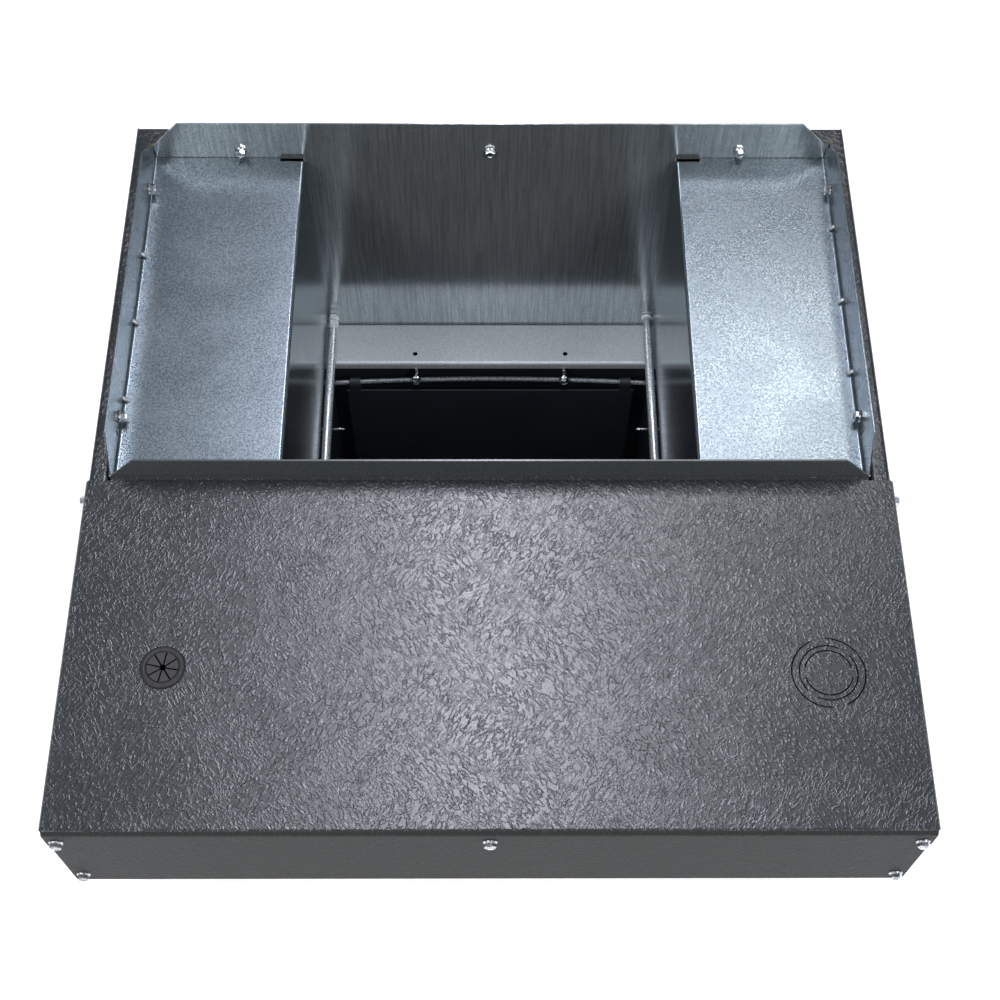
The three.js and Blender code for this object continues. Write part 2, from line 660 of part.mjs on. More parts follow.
const bumperX = doorX - shell / 2;
for (const [name, z] of [['lower', doorFootZ + hingeInset], ['upper', doorTopZ - hingeInset]]) {
  addPiece(`door_bumper_${name}`, rubber, turned([[0, gap], [bumperDiameter / 2, gap],
    [bumperDiameter / 2 - bumperTaper, frameStandOff - doorReturn - gap],
    [0, frameStandOff - doorReturn - gap]],
  at(bumperX, frameY, z), at(0, -1, 0), 16));
}

// ---- Cable grommet and wiring space

const grommetNeck = grommetHole / 2 - gap;
const grommetBore = grommetNeck - grommetLip;
const grommetRim = grommetFlange / 2;
const grommetLow = -shell - gap - grommetRise;
const slits = Array.from({ length: grommetSlits / 2 }, (_, i) => {
  const slit = box(-grommetSlit / 2, grommetSlit / 2, -grommetSlitLength / 2, grommetSlitLength / 2,
    -grommetMembrane - over, over);
  return slit.rotate([0, 0, grommetTurn + i * 360 / grommetSlits]).translate([grommetX, grommetY, height]);
});
addPiece('cable_grommet', rubber, cut(
  turned([[0, -grommetMembrane], [grommetBore, -grommetMembrane], [grommetBore, grommetLow],
    [grommetRim - grommetRound, grommetLow], [grommetRim, -shell - gap], [grommetNeck, -shell - gap],
    [grommetNeck, gap], [grommetRim, gap], [grommetRim - grommetRound, grommetRise + gap],
    [grommetBore + grommetRound, grommetRise + gap], [grommetBore, 0], [0, 0]],
  at(grommetX, grommetY, height), axisZ, 24),
  rod(at(grommetX, grommetY, height), axisZ, grommetEye, -grommetMembrane - over, over, 10), ...slits));

const wiringZ = floorZ + liner + gap;
const blockX = knockoutX + blockPlace.x;
const blockY = knockoutY + blockPlace.y;
const blockBase = box(blockX - blockSize.x / 2, blockX + blockSize.x / 2, blockY - blockSize.y / 2,
  blockY + blockSize.y / 2, wiringZ, wiringZ + blockSize.z);
const wireWays = Array.from({ length: terminals }, (_, i) => {
  const x = blockX + blockSize.x * ((i + 0.5) / terminals - 0.5);
  const half = blockSize.x / terminals / 2 - terminalWall;
  return box(x - half, x + half, blockY - blockSize.y, blockY - blockSize.y / 6, wiringZ + terminalFloor,
    wiringZ + blockSize.z + over);
});
addPiece('terminal_block', moulded, cut(blockBase, ...wireWays));

const switchX = doorX - frameFace - switchFromRing;
const frameHead = frameTop - frameFace / 2;
addPiece('door_switch', moulded, box(switchX - switchSize.x / 2, switchX + switchSize.x / 2,
  frameY + shell + gap, frameY + shell + gap + switchSize.y, frameHead + switchRoom,
  frameHead + switchRoom + switchSize.z));
addPiece('switch_magnet', moulded, box(switchX - magnetSize.x / 2, switchX + magnetSize.x / 2,
  doorY + shell + gap, doorY + shell + gap + magnetSize.y,
  doorTopZ - shell - gap - magnetSize.z, doorTopZ - shell - gap));

// ---- Screws: a washer and a hexagon on a plain shank, and the holes that they pass through

function addScrew(name, seat, direction, through, length = screwLength) {
  const washer = turned([[0, -gap - screwWasherThick],
    [screwWasher / 2 - washerSlope, -gap - screwWasherThick],
    [screwWasher / 2, -gap], [0, -gap]], seat, direction, 14);
  const hex = rod(seat, direction, screwHex / 2 / Math.cos(Math.PI / 6),
    -gap - screwWasherThick - screwHexHigh,
    -gap - screwWasherThick / 2, 6);
  const radius = screwShank / 2;
  const shank = turned([[0, -gap - screwWasherThick / 2], [radius, -gap - screwWasherThick / 2],
    [radius, length - radius], [screwTip, length], [0, length]], seat, direction, 8);
  addPiece(name, brightZinc, join(shank, washer, hex));
  const drill = rod(seat, direction, radius + gap, -2 * over, length + 2 * over, 10);
  for (const sheet of through) {
    const piece = pieces.get(sheet);
    piece.manifold = piece.manifold.subtract(drill);
  }
}

for (const [name, place] of [['left', -1], ['middle', 0], ['right', 1]]) {
  const x = place * (collarX - rearScrewInset);
  addScrew(`rear_collar_screw_${name}`, at(x, rearY, height - screwBelowRim), axisY,
    ['liner_back', 'back_panel']);
}
for (const [name, side] of sides) {
  const out = at(side, 0, 0);
  const inward = at(-side, 0, 0);
  for (const [end, y] of sideScrewYs) {
    addScrew(`collar_screw_${name}_${end}`, at(side * collarX, y, height - screwBelowRim), out,
      [`side_box_${name}`, `side_panel_${name}`]);
  }
  addScrew(`hood_screw_${name}`,
    at(side * width / 2, yFront + hoodDepth - hoodScrewInset, height - hoodScrewDrop), inward,
    ['top_cover', `side_panel_${name}`]);
  addScrew(`fold_screw_${name}`,
    at(side * (width / 2 - frontScrewInset), yFront, height - frontScrewDrop), axisY,
    ['top_cover', 'front_panel', `side_panel_${name}`]);
  addScrew(`panel_screw_${name}`,
    at(side * (width / 2 - frontScrewInset), panelY, faceZ + frontScrewDrop), axisY,
    ['front_panel', `side_panel_${name}`]);
  addScrew(`sleeve_screw_${name}`,
    at(side * (throatX + liner), sleeveY - sleeveScrewInset, height - sleeveScrewDrop), inward,
    [`side_box_${name}`, 'lower_sleeve'], sleeveScrewLength);
  const boltZ = rodZ + rodDiameter / 2 + screwShank / 2 + gap;
  const boltX = side * (sleeveX - rodBoltInset);
  const boltSeat = rodDepth(boltX) - rodDiameter / 2;
  addScrew(`rod_bolt_${name}`, at(boltX, boltSeat, boltZ), axisY, ['lower_sleeve'],
    sleeveY + shell - boltSeat + rodBoltSpare);
}
addScrew('fold_screw_middle', at(0, yFront, height - frontScrewDrop), axisY, ['top_cover', 'front_panel']);
addScrew('ground_screw', at(blockX + blockSize.x, blockY, floorZ + liner), at(0, 0, -1), ['hood_floor']);

const dropBox = new THREE.Group();
for (const [name, { look, manifold }] of pieces) {
  const mesh = new THREE.Mesh(geometryOf(manifold), new THREE.MeshStandardMaterial(look));
  mesh.name = name;
  dropBox.add(mesh);
}

export default dropBox;
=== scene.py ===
"""A steel parcel drop box: coated outer sheets, a galvanised throat with standing collars, and a locked door.

Sizes in this script are millimetres, and mm() turns them to the frame's metres."""
import json
import math

import bmesh
import bpy
from mathutils import Matrix, Vector

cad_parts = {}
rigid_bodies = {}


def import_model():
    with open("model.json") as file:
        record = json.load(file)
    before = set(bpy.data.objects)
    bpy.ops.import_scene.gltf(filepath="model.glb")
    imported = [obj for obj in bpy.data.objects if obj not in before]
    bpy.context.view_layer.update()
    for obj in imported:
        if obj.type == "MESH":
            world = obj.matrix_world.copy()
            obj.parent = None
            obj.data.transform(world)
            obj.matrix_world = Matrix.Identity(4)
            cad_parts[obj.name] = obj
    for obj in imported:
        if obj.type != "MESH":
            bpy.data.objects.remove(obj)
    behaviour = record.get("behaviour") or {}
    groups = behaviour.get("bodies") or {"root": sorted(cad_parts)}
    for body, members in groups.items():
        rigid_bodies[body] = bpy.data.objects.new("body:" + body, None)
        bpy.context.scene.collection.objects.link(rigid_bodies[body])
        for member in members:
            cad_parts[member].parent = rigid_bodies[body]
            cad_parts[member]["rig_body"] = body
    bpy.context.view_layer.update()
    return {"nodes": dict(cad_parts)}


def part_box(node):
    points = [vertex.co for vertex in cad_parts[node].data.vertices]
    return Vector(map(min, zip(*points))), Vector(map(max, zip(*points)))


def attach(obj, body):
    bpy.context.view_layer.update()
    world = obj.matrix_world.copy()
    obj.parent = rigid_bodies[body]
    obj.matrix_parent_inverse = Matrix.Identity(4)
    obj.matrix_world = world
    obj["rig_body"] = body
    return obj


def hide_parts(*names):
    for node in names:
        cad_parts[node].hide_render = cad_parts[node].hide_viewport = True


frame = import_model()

MM = 0.001


def mm(*values):
    """A length or a point in millimetres, as metres."""
    return values[0] * MM if len(values) == 1 else Vector(values) * MM


def low(node):
    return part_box(node)[0] / MM


def high(node):
    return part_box(node)[1] / MM


def middle(node):
    return (low(node) + high(node)) / 2


# ---- Camera, floor and light

CAMERA_PLACE = (0, -525, 1309)
CAMERA_PITCH = 61.33  # degrees below level
CAMERA_YAW = -0.73
CAMERA_ROLL = 0.63
CAMERA_LENS = 57.7
CAMERA_CLIP = 20


def placed(name, data):
    """A new object in the scene."""
    holder = bpy.data.objects.new(name, data)
    bpy.context.scene.collection.objects.link(holder)
    return holder


def make_camera():
    pitch, yaw, roll = (math.radians(a) for a in (CAMERA_PITCH, CAMERA_YAW, CAMERA_ROLL))
    forward = Vector((-math.sin(yaw) * math.cos(pitch), math.cos(yaw) * math.cos(pitch), -math.sin(pitch)))
    right = Vector((math.cos(yaw), math.sin(yaw), 0))
    up = right.cross(forward)
    turn = Matrix((right, up, -forward)).transposed() @ Matrix.Rotation(roll, 3, "Z")
    camera = placed("camera", bpy.data.cameras.new("camera"))
    camera.data.lens = CAMERA_LENS
    camera.data.clip_start = mm(CAMERA_CLIP)
    camera.matrix_world = Matrix.Translation(mm(*CAMERA_PLACE)) @ turn.to_4x4()
    bpy.context.scene.camera = camera


make_camera()


def linear(code):
    """An sRGB hex colour as linear RGBA."""
    parts = [int(code[i:i + 2], 16) / 255 for i in (1, 3, 5)]
    return (*(p / 12.92 if p <= 0.04045 else ((p + 0.055) / 1.055) ** 2.4 for p in parts), 1.0)


def put(tree, kind, settings=None, inputs=None):
    """Adds a node. An input's value is a constant, or the socket that it is linked from."""
    node = tree.nodes.new(kind)
    for name, value in (settings or {}).items():
        setattr(node, name, value)
    for name, value in (inputs or {}).items():
        if isinstance(value, bpy.types.NodeSocket):
            tree.links.new(value, node.inputs[name])
        else:
            node.inputs[name].default_value = value
    return node


def new_material(name, **constants):
    """A material with a Principled surface, and its Object coordinates in millimetres."""
    material = bpy.data.materials.new(name)
    material.use_nodes = True
    tree = material.node_tree
    tree.nodes.clear()
    surface = put(tree, "ShaderNodeBsdfPrincipled", None, constants)
    put(tree, "ShaderNodeOutputMaterial", None, {"Surface": surface.outputs["BSDF"]})
    place = put(tree, "ShaderNodeTexCoord").outputs["Object"]
    scaled = put(tree, "ShaderNodeVectorMath", {"operation": "SCALE"}, {0: place, "Scale": 1 / MM})
    return material, tree, surface, scaled.outputs[0]


def noise(tree, place, size, detail=2.0, distortion=0.0, stretch=(1, 1, 1)):
    """Noise whose grains are about size millimetres across, longer where stretch is less than 1."""
    scaled = put(tree, "ShaderNodeVectorMath", {"operation": "MULTIPLY"}, {0: place, 1: stretch}).outputs[0]
    return put(tree, "ShaderNodeTexNoise", None, {
        "Vector": scaled, "Scale": 1 / size, "Detail": detail, "Distortion": distortion}).outputs[0]


def calc(tree, operation, *values):
    """A sum on sockets and numbers."""
    return put(tree, "ShaderNodeMath", {"operation": operation}, dict(enumerate(values))).outputs[0]


def spread(tree, value, low_in, high_in, low_out, high_out, smooth=False):
    """Takes one range of values to another."""
    settings = {"interpolation_type": "SMOOTHSTEP" if smooth else "LINEAR"}
    ends = {1: low_in, 2: high_in, 3: low_out, 4: high_out}
    return put(tree, "ShaderNodeMapRange", settings, {0: value, **ends}).outputs[0]


def blend_colours(tree, factor, first, second):
    return put(tree, "ShaderNodeMix", {"data_type": "RGBA"}, {0: factor, 6: first, 7: second}).outputs[2]


def bump(tree, surface, *layers):
    """Each layer is a height from 0 to 1 and its depth in millimetres."""
    normal = None
    for height, depth in layers:
        inputs = {"Height": height, "Distance": mm(depth), "Strength": 1.0}
        if normal:
            inputs["Normal"] = normal
        normal = put(tree, "ShaderNodeBump", None, inputs).outputs[0]
    tree.links.new(normal, surface.inputs["Normal"])


def paper_floor():
    """White seamless paper: matt, faintly mottled, and lit from within so that shadows stay pale."""
    material, tree, surface, place = new_material("seamless_paper", Roughness=1.0)
    surface.inputs["Specular IOR Level"].default_value = 0.1
    surface.inputs["Emission Color"].default_value = linear("#ffffff")
    surface.inputs["Emission Strength"].default_value = 0.3
    tone = blend_colours(tree, noise(tree, place, 400), linear("#f4f4f4"), linear("#fafafa"))
    tree.links.new(tone, surface.inputs["Base Color"])
    return material


FLOOR_HALF = 12000
FLOOR_DROP = -0.5  # just under the base, so that the two don't share a plane


def make_stage():
    mesh = bpy.data.meshes.new("studio_floor")
    square = [mm(x * FLOOR_HALF, y * FLOOR_HALF, FLOOR_DROP) for x, y in ((-1, -1), (1, -1), (1, 1), (-1, 1))]
    mesh.from_pydata(square, [], [(0, 1, 2, 3)])
    mesh.materials.append(paper_floor())
    floor = placed("studio_floor", mesh)


make_stage()


def area_light(name, place, aim, width, height, power, colour="#ffffff"):
    """A softbox at place, facing aim, both in millimetres. Power is in watts."""
    light = bpy.data.lights.new(name, "AREA")
    light.shape = "RECTANGLE"
    light.size, light.size_y = mm(width), mm(height)
    light.energy = power
    light.color = linear(colour)[:3]
    holder = placed(name, light)
    holder.location = mm(*place)
    holder.rotation_euler = (Vector(aim) - Vector(place)).to_track_quat("-Z", "Y").to_euler()


area_light("overhead_strip", (-10, 900, 2750), (0, 0, 420), 180, 1500, 39, "#f0f2ff")
area_light("overhead_panel", (0, 500, 2800), (0, 500, 0), 1800, 1800, 3)
area_light("right_panel", (700, 1480, 2700), (200, 0, 420), 400, 300, 5)
area_light("front_left", (-1500, -1500, 2300), (0, 0, 300), 1200, 1200, 40)
area_light("front_right", (1500, -1500, 2300), (0, 0, 300), 1200, 1200, 40)


def make_world():
    world = bpy.data.worlds.new("studio")
    bpy.context.scene.world = world
    world.use_nodes = True
    tree = world.node_tree
    tree.nodes.clear()
    place = put(tree, "ShaderNodeTexCoord").outputs["Generated"]
    rise = put(tree, "ShaderNodeSeparateXYZ", None, {0: place}).outputs[2]
    level = spread(tree, rise, 0.0, 0.55, 0.0, 1.0, smooth=True)
    tone = blend_colours(tree, level, linear("#f2f4f6"), linear("#8f979d"))
    shade = put(tree, "ShaderNodeBackground", None, {"Color": tone, "Strength": 0.5})
    put(tree, "ShaderNodeOutputWorld", None, {"Surface": shade.outputs[0]})


make_world()
bpy.context.scene.view_settings.view_transform = "Standard"


# ---- Materials

LIP_HIGH = 20
HOOD_DECK = high("top_cover").z - LIP_HIGH  # the hood's upper face, below its lip
LIP_FOOT = HOOD_DECK + 1  # above this the sheet is plain, for the lip has no emboss
LIP_FADE = 1.5
WRINKLE_SIZE = 2.5
WRINKLE_LEANS = (-40, 35)  # degrees, one for each way that the hide grain flows


def strands(tree, place, lean, size):
    """Thin ridges with short side branches, leaning one way, where a stretched noise passes its middle."""
    leaning = put(tree, "ShaderNodeVectorRotate", {"rotation_type": "Z_AXIS"},
                  {"Vector": place, "Angle": math.radians(lean)}).outputs[0]
    vein = noise(tree, leaning, size, detail=1.6, distortion=0.5, stretch=(1, 0.42, 0.42))
    crest = calc(tree, "ABSOLUTE", calc(tree, "SUBTRACT", vein, 0.5))
    return spread(tree, crest, 0.0, 0.1, 1.0, 0.0, smooth=True)


def embossed_coating(name, tones, emboss, rough_low, rough_high, **constants):
    """Charcoal powder coat over steel embossed with a hide grain: fine branching wrinkles about 3 mm apart,
    satin, so a softbox spreads to a wide glow. The tones are the low and the high of its mottle, the crests
    of its wrinkles, painted lighter as a highlight, and the plain lip, painted lighter than the deck as light
    that falls on it."""
    material, tree, surface, place = new_material(name, **constants)
    wander = noise(tree, place, 22, detail=1)
    flow = spread(tree, noise(tree, place, 55, detail=1), 0.42, 0.58, 0.0, 1.0, smooth=True)
    ridge = put(tree, "ShaderNodeMix", {"data_type": "FLOAT"},
                {0: flow, 2: strands(tree, place, WRINKLE_LEANS[0], WRINKLE_SIZE),
                 3: strands(tree, place, WRINKLE_LEANS[1], WRINKLE_SIZE)}).outputs[0]
    broken = spread(tree, noise(tree, place, 7, detail=1), 0.3, 0.6, 0.5, 1.0)
    height = put(tree, "ShaderNodeSeparateXYZ", None, {0: place}).outputs[2]
    embossed = spread(tree, height, LIP_FOOT, LIP_FOOT + LIP_FADE, 1.0, 0.0)
    wrinkle = calc(tree, "MULTIPLY", calc(tree, "MULTIPLY", ridge, broken), embossed)
    fine = noise(tree, place, 0.9, detail=1)
    sag = noise(tree, place, 110, detail=0)
    bump(tree, surface, (sag, 0.4), (wrinkle, emboss), (fine, 0.02))
    tone = blend_colours(tree, wander, linear(tones[0]), linear(tones[1]))
    # The plain lip above LIP_FOOT takes its own lighter tone: painted light on the same coated face.
    flat = blend_colours(tree, embossed, linear(tones[3]), tone)
    # The wrinkles' crests are blended towards a lighter tone: a painted highlight.
    crest_painted_highlight = blend_colours(tree, spread(tree, wrinkle, 0.3, 1.0, 0.0, 0.4), flat, linear(tones[2]))
    tree.links.new(crest_painted_highlight, surface.inputs["Base Color"])
    tree.links.new(spread(tree, fine, 0.3, 0.7, rough_low, rough_high), surface.inputs["Roughness"])
    return material


def rolled_zinc(name, tone_low, tone_high, peel_depth, streak_depth, rough_low, rough_high, metallic):
    """Hot-dip galvanised sheet: a grey-blue zinc skin with orange-peel grain about 1.5 mm across, faint
    rolling streaks and a soft mottle, half mirror and half matt."""
    material, tree, surface, place = new_material(name, Metallic=metallic)
    peel = noise(tree, place, 1.35, detail=1.5, distortion=0.3)
    streak = noise(tree, place, 1.1, detail=2, stretch=(1, 1, 0.03))
    mottle = noise(tree, place, 35, detail=3)
    sag = noise(tree, place, 130, detail=0)
    bump(tree, surface, (sag, 0.12), (peel, peel_depth), (streak, streak_depth))
    grain = calc(tree, "MULTIPLY", calc(tree, "ADD", streak, peel), 0.5)
    tone = blend_colours(tree, spread(tree, grain, 0.4, 0.6, 0.0, 1.0), linear(tone_low), linear(tone_high))
    tree.links.new(tone, surface.inputs["Base Color"])
    tree.links.new(spread(tree, mottle, 0.3, 0.7, rough_low, rough_high), surface.inputs["Roughness"])
    return material


def black_coating():
    """Thin black coating on steel: matt, with rubbed grey specks."""
    material, tree, surface, place = new_material("matt_black_coating", IOR=1.5)
    speck = spread(tree, noise(tree, place, 3.0, detail=4), 0.66, 0.74, 0.0, 0.6)
    tone = blend_colours(tree, speck, linear("#2a3138"), linear("#4a5158"))
    tree.links.new(tone, surface.inputs["Base Color"])
    grain = noise(tree, place, 0.8, detail=1)
    tree.links.new(spread(tree, grain, 0.3, 0.7, 0.38, 0.55), surface.inputs["Roughness"])
    bump(tree, surface, (grain, 0.02))
    return material


def zinc_plate():
    """Bright zinc plating: a clear, faintly hazed mirror that picks up white edges."""
    material, tree, surface, place = new_material("bright_zinc_plate", Metallic=1.0)
    haze = noise(tree, place, 1.6, detail=3)
    tone = blend_colours(tree, haze, linear("#b9bfc4"), linear("#e6e8ea"))
    tree.links.new(tone, surface.inputs["Base Color"])
    tree.links.new(spread(tree, haze, 0.3, 0.7, 0.16, 0.34), surface.inputs["Roughness"])
    bump(tree, surface, (haze, 0.02))
    return material


def moulded_rubber():
    """Black moulded rubber: dull, with a dusty bloom on its high spots."""
    material, tree, surface, place = new_material("moulded_black_rubber", IOR=1.52)
    bloom = noise(tree, place, 2.2, detail=4)
    tone = blend_colours(tree, bloom, linear("#101113"), linear("#242326"))
    tree.links.new(tone, surface.inputs["Base Color"])
    tree.links.new(spread(tree, bloom, 0.3, 0.7, 0.5, 0.7), surface.inputs["Roughness"])
    bump(tree, surface, (noise(tree, place, 0.5, detail=1), 0.03))
    return material


def thin_membrane():
    """Thin rubber skin: brown-grey, dusty and dull."""
    material, tree, surface, place = new_material("dusty_rubber_membrane", IOR=1.5, Roughness=0.75)
    dust = noise(tree, place, 1.2, detail=4)
    tone = blend_colours(tree, dust, linear("#29272a"), linear("#3f3c3f"))
    tree.links.new(tone, surface.inputs["Base Color"])
    bump(tree, surface, (dust, 0.05))
    return material


def moulded_nylon():
    """Ivory moulded nylon: slightly waxy, with a fine spark-eroded texture."""
    material, tree, surface, place = new_material("ivory_moulded_nylon", IOR=1.53)
    mottle = noise(tree, place, 9, detail=2)
    tone = blend_colours(tree, mottle, linear("#cfcabb"), linear("#dedace"))
    tree.links.new(tone, surface.inputs["Base Color"])
    grain = noise(tree, place, 0.5, detail=1)
    tree.links.new(spread(tree, grain, 0.3, 0.7, 0.42, 0.56), surface.inputs["Roughness"])
    bump(tree, surface, (grain, 0.02))
    return material


coated = embossed_coating("embossed_charcoal_powder_coat", ("#1a1e21", "#23272b", "#2a2f33", "#3c4144"),
                          0.13, 0.25, 0.33, IOR=1.6)
panel_coat = embossed_coating("fine_charcoal_powder_coat", ("#222323", "#272828", "#313232", "#272828"),
                              0.22, 0.55, 0.65, IOR=1.33)
# The plates, the throat's sides, the upright walls and the ledge are one galvanised sheet. Their copies' tones step
# lighter from plates to sides to walls to ledge: painted light, for how brightly each place is lit. The ledge's copy
# is also rougher and less metallic.
plate_zinc = rolled_zinc("galvanised_sheet", "#656f76", "#8b949a", 0.02, 0.01, 0.25, 0.29, 0.86)
wall_zinc = rolled_zinc("galvanised_sheet_rolled_upright", "#acb5bb", "#d6dcdf", 0.004, 0.02, 0.15, 0.19,
                        0.85)
side_zinc = rolled_zinc("galvanised_sheet_bright_sides", "#7f898f", "#9aa4aa", 0.008, 0.012, 0.17, 0.21, 0.93)
ledge_zinc = rolled_zinc("galvanised_sheet_dulled_and_painted_lit", "#ccd2d6", "#e2e6e9", 0.02, 0.02, 0.35, 0.42, 0.4)
black = black_coating()
zinc = zinc_plate()
tube_zinc = rolled_zinc("galvanised_tube", "#9ba1a6", "#dfe3e5", 0.03, 0.0, 0.3, 0.4, 0.6)
rod_zinc = rolled_zinc("zinc_plated_rod", "#6c7379", "#b9bfc3", 0.03, 0.0, 0.35, 0.5, 0.4)
white_zinc = rolled_zinc("bright_zinc_nuts", "#e3e7ea", "#f6f8f9", 0.01, 0.0, 0.3, 0.4, 0.2)
rubber = moulded_rubber()
membrane = thin_membrane()
nylon = moulded_nylon()

FINISHES = {
    "coated_steel": (coated, ["side_panel_left", "side_panel_right", "back_panel", "top_cover",
                              "base_pan", "retrieval_door"]),
    "coated_steel.panel": (panel_coat, ["front_panel"]),
    "galvanised_steel": (plate_zinc, ["hood_floor", "side_box_left", "side_box_right", "door_frame"]),
    "galvanised_steel.ledge": (ledge_zinc, ["ledge"]),
    "galvanised_steel.wall": (wall_zinc, ["liner_back", "throat_front_wall"]),
    "black_steel": (black, ["lower_sleeve", "throat_flap"]),
    "bright_zinc.rod": (rod_zinc, ["baffle_rod"]),
    "bright_zinc.tube": (tube_zinc, ["guide_rail_left", "guide_rail_right"]),
    "rubber": (rubber, ["cable_grommet", "door_bumper_lower", "door_bumper_upper"]),
    "moulded_plastic": (nylon, ["terminal_block", "door_switch", "switch_magnet"]),
}
finish_of = {}
for slot_name, (material, members) in FINISHES.items():
    for member in members:
        finish_of[member] = (slot_name.split(".")[0], material)
body_of = {name: node["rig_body"] for name, node in frame["nodes"].items()}
for name, node in frame["nodes"].items():
    node.data.materials.clear()
    node.data.materials.append(finish_of.setdefault(name, ("bright_zinc", zinc))[1])


# ---- Making pieces

def add_piece(name, mesh, body, stands_for=()):
    """A finished mesh as a piece that rides on a body."""
    piece = placed(name, mesh)
    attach(piece, body)
    if stands_for:
        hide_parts(*stands_for)
    return piece


def finished(holder):
    """The object's mesh with its modifiers done, as a plain mesh. The object is removed."""
    graph = bpy.context.evaluated_depsgraph_get()
    mesh = bpy.data.meshes.new_from_object(holder.evaluated_get(graph), preserve_all_data_layers=True,
                                           depsgraph=graph)
    bpy.data.objects.remove(holder)
    return mesh


def mesh_from(build, material, name):
    """A mesh with one material, from a function that fills a bmesh."""
    shape = bmesh.new()
    build(shape)
    bmesh.ops.remove_doubles(shape, verts=shape.verts, dist=mm(0.001))
    bmesh.ops.recalc_face_normals(shape, faces=shape.faces)
    mesh = bpy.data.meshes.new(name)
    shape.to_mesh(mesh)
    shape.free()
    mesh.materials.append(material)
    return mesh


SMOOTH_ANGLE = math.radians(50)


def shade_by_angle(mesh, angle=SMOOTH_ANGLE):
    shape = bmesh.new()
    shape.from_mesh(mesh)
    for face in shape.faces:
        face.smooth = True
    for edge in shape.edges:
        edge.smooth = len(edge.link_faces) == 2 and edge.calc_face_angle(0) < angle
    shape.to_mesh(mesh)
    shape.free()


def hood_front(normal, centre):
    return normal.y < -0.5 and centre.z < LIP_FOOT


THROAT_WALL_REACH = 8  # the throat's side walls lie within this much of the ledge's ends


def throat_side(normal, centre):
    return abs(normal.x) > 0.5 and abs(centre.x) < high("ledge").x + THROAT_WALL_REACH


SECOND_FINISH = {"top_cover": (panel_coat, hood_front), "side_box_left": (side_zinc, throat_side),
                 "side_box_right": (side_zinc, throat_side)}


def rounded_sheet(node, radius=0.22):
    """A folded sheet or a small fitting with its edges broken and its folds smooth, from a merged copy of its
    CAD shape. Some sheets have a second finish on chosen faces."""
    slot_name, material = finish_of[node]
    mesh = frame["nodes"][node].data.copy()
    shape = bmesh.new()
    shape.from_mesh(mesh)
    bmesh.ops.remove_doubles(shape, verts=shape.verts, dist=mm(0.002))
    bmesh.ops.dissolve_limit(shape, angle_limit=math.radians(0.5), verts=shape.verts, edges=shape.edges)
    shape.to_mesh(mesh)
    shape.free()
    holder = placed("sheet", mesh)
    edges = holder.modifiers.new("broken edges", "BEVEL")
    edges.width = mm(radius)
    edges.segments = 2
    edges.limit_method = "ANGLE"
    edges.angle_limit = SMOOTH_ANGLE
    edges.use_clamp_overlap = True
    mesh = finished(holder)
    shade_by_angle(mesh)
    holder = placed("sheet", mesh)
    weighted = holder.modifiers.new("flat faces stay flat", "WEIGHTED_NORMAL")
    weighted.keep_sharp = True
    mesh = finished(holder)
    if node in SECOND_FINISH:
        other, chosen = SECOND_FINISH[node]
        mesh.materials.append(other)
        for face in mesh.polygons:
            face.material_index = int(chosen(face.normal, face.center / MM))
    mesh.name = f"{node}_sheet"
    return add_piece(f"{node}_sheet", mesh, body_of[node], [node])


for sheet in ("top_cover", "front_panel", "side_panel_left", "side_panel_right", "back_panel",
              "side_box_left", "side_box_right", "liner_back", "ledge", "throat_front_wall", "lower_sleeve",
              "throat_flap", "retrieval_door", "base_pan", "door_frame", "hood_floor"):
    rounded_sheet(sheet)
for place in ("lower", "upper"):
    for part in ("frame_leaf", "door_leaf", "pin"):
        rounded_sheet(f"{place}_hinge_{part}", radius=0.3)
for small in ("lock_nut", "lock_cam", "cam_screw", "terminal_block", "door_switch", "switch_magnet"):
    rounded_sheet(small, radius=0.35)
rounded_sheet("lock_plug", radius=0.15)


# ---- Geometry trees and screws

def new_group(name, **sizes):
    """A geometry tree whose inputs are the points or mesh it works on and its named sizes."""
    tree = bpy.data.node_groups.new(name, "GeometryNodeTree")
    tree.interface.new_socket("Geometry", in_out="INPUT", socket_type="NodeSocketGeometry")
    for label, value in sizes.items():
        kind = {int: "NodeSocketInt", float: "NodeSocketFloat"}[type(value)]
        tree.interface.new_socket(label, in_out="INPUT", socket_type=kind).default_value = value
    tree.interface.new_socket("Finish", in_out="INPUT", socket_type="NodeSocketMaterial")
    tree.interface.new_socket("Geometry", in_out="OUTPUT", socket_type="NodeSocketGeometry")
    return tree, put(tree, "NodeGroupInput").outputs


def end_group(tree, given, shape, smooth=False):
    """Makes the copies real, gives them their finish and ends the tree."""
    real = put(tree, "GeometryNodeRealizeInstances", None, {0: shape}).outputs[0]
    shaded = put(tree, "GeometryNodeSetShadeSmooth", None, {0: real, 2: smooth}).outputs[0]
    done = put(tree, "GeometryNodeSetMaterial", None, {0: shaded, "Material": given["Finish"]}).outputs[0]
    put(tree, "NodeGroupOutput", None, {0: done})
    return tree


def metres(tree, given, *labels):
    """A tree's sizes, which are in millimetres, as metres."""
    return {label: calc(tree, "MULTIPLY", given[label], MM) for label in labels}


def moved(tree, shape, up, turn=(0, 0, 0)):
    shift = put(tree, "ShaderNodeCombineXYZ", None, {"Z": up}).outputs[0]
    return put(tree, "GeometryNodeTransform", None,
               {0: shape, "Translation": shift, "Rotation": turn}).outputs[0]


def joined(tree, *shapes):
    node = put(tree, "GeometryNodeJoinGeometry")
    for shape in shapes:
        tree.links.new(shape, node.inputs[0])
    return node.outputs[0]


def outward_turn(tree):
    """The turn that takes a shape's Z to each point's outward attribute."""
    outward = put(tree, "GeometryNodeInputNamedAttribute", {"data_type": "FLOAT_VECTOR"},
                  {"Name": "outward"}).outputs[0]
    return put(tree, "FunctionNodeAlignRotationToVector", {"axis": "Z"}, {"Vector": outward}).outputs[0]


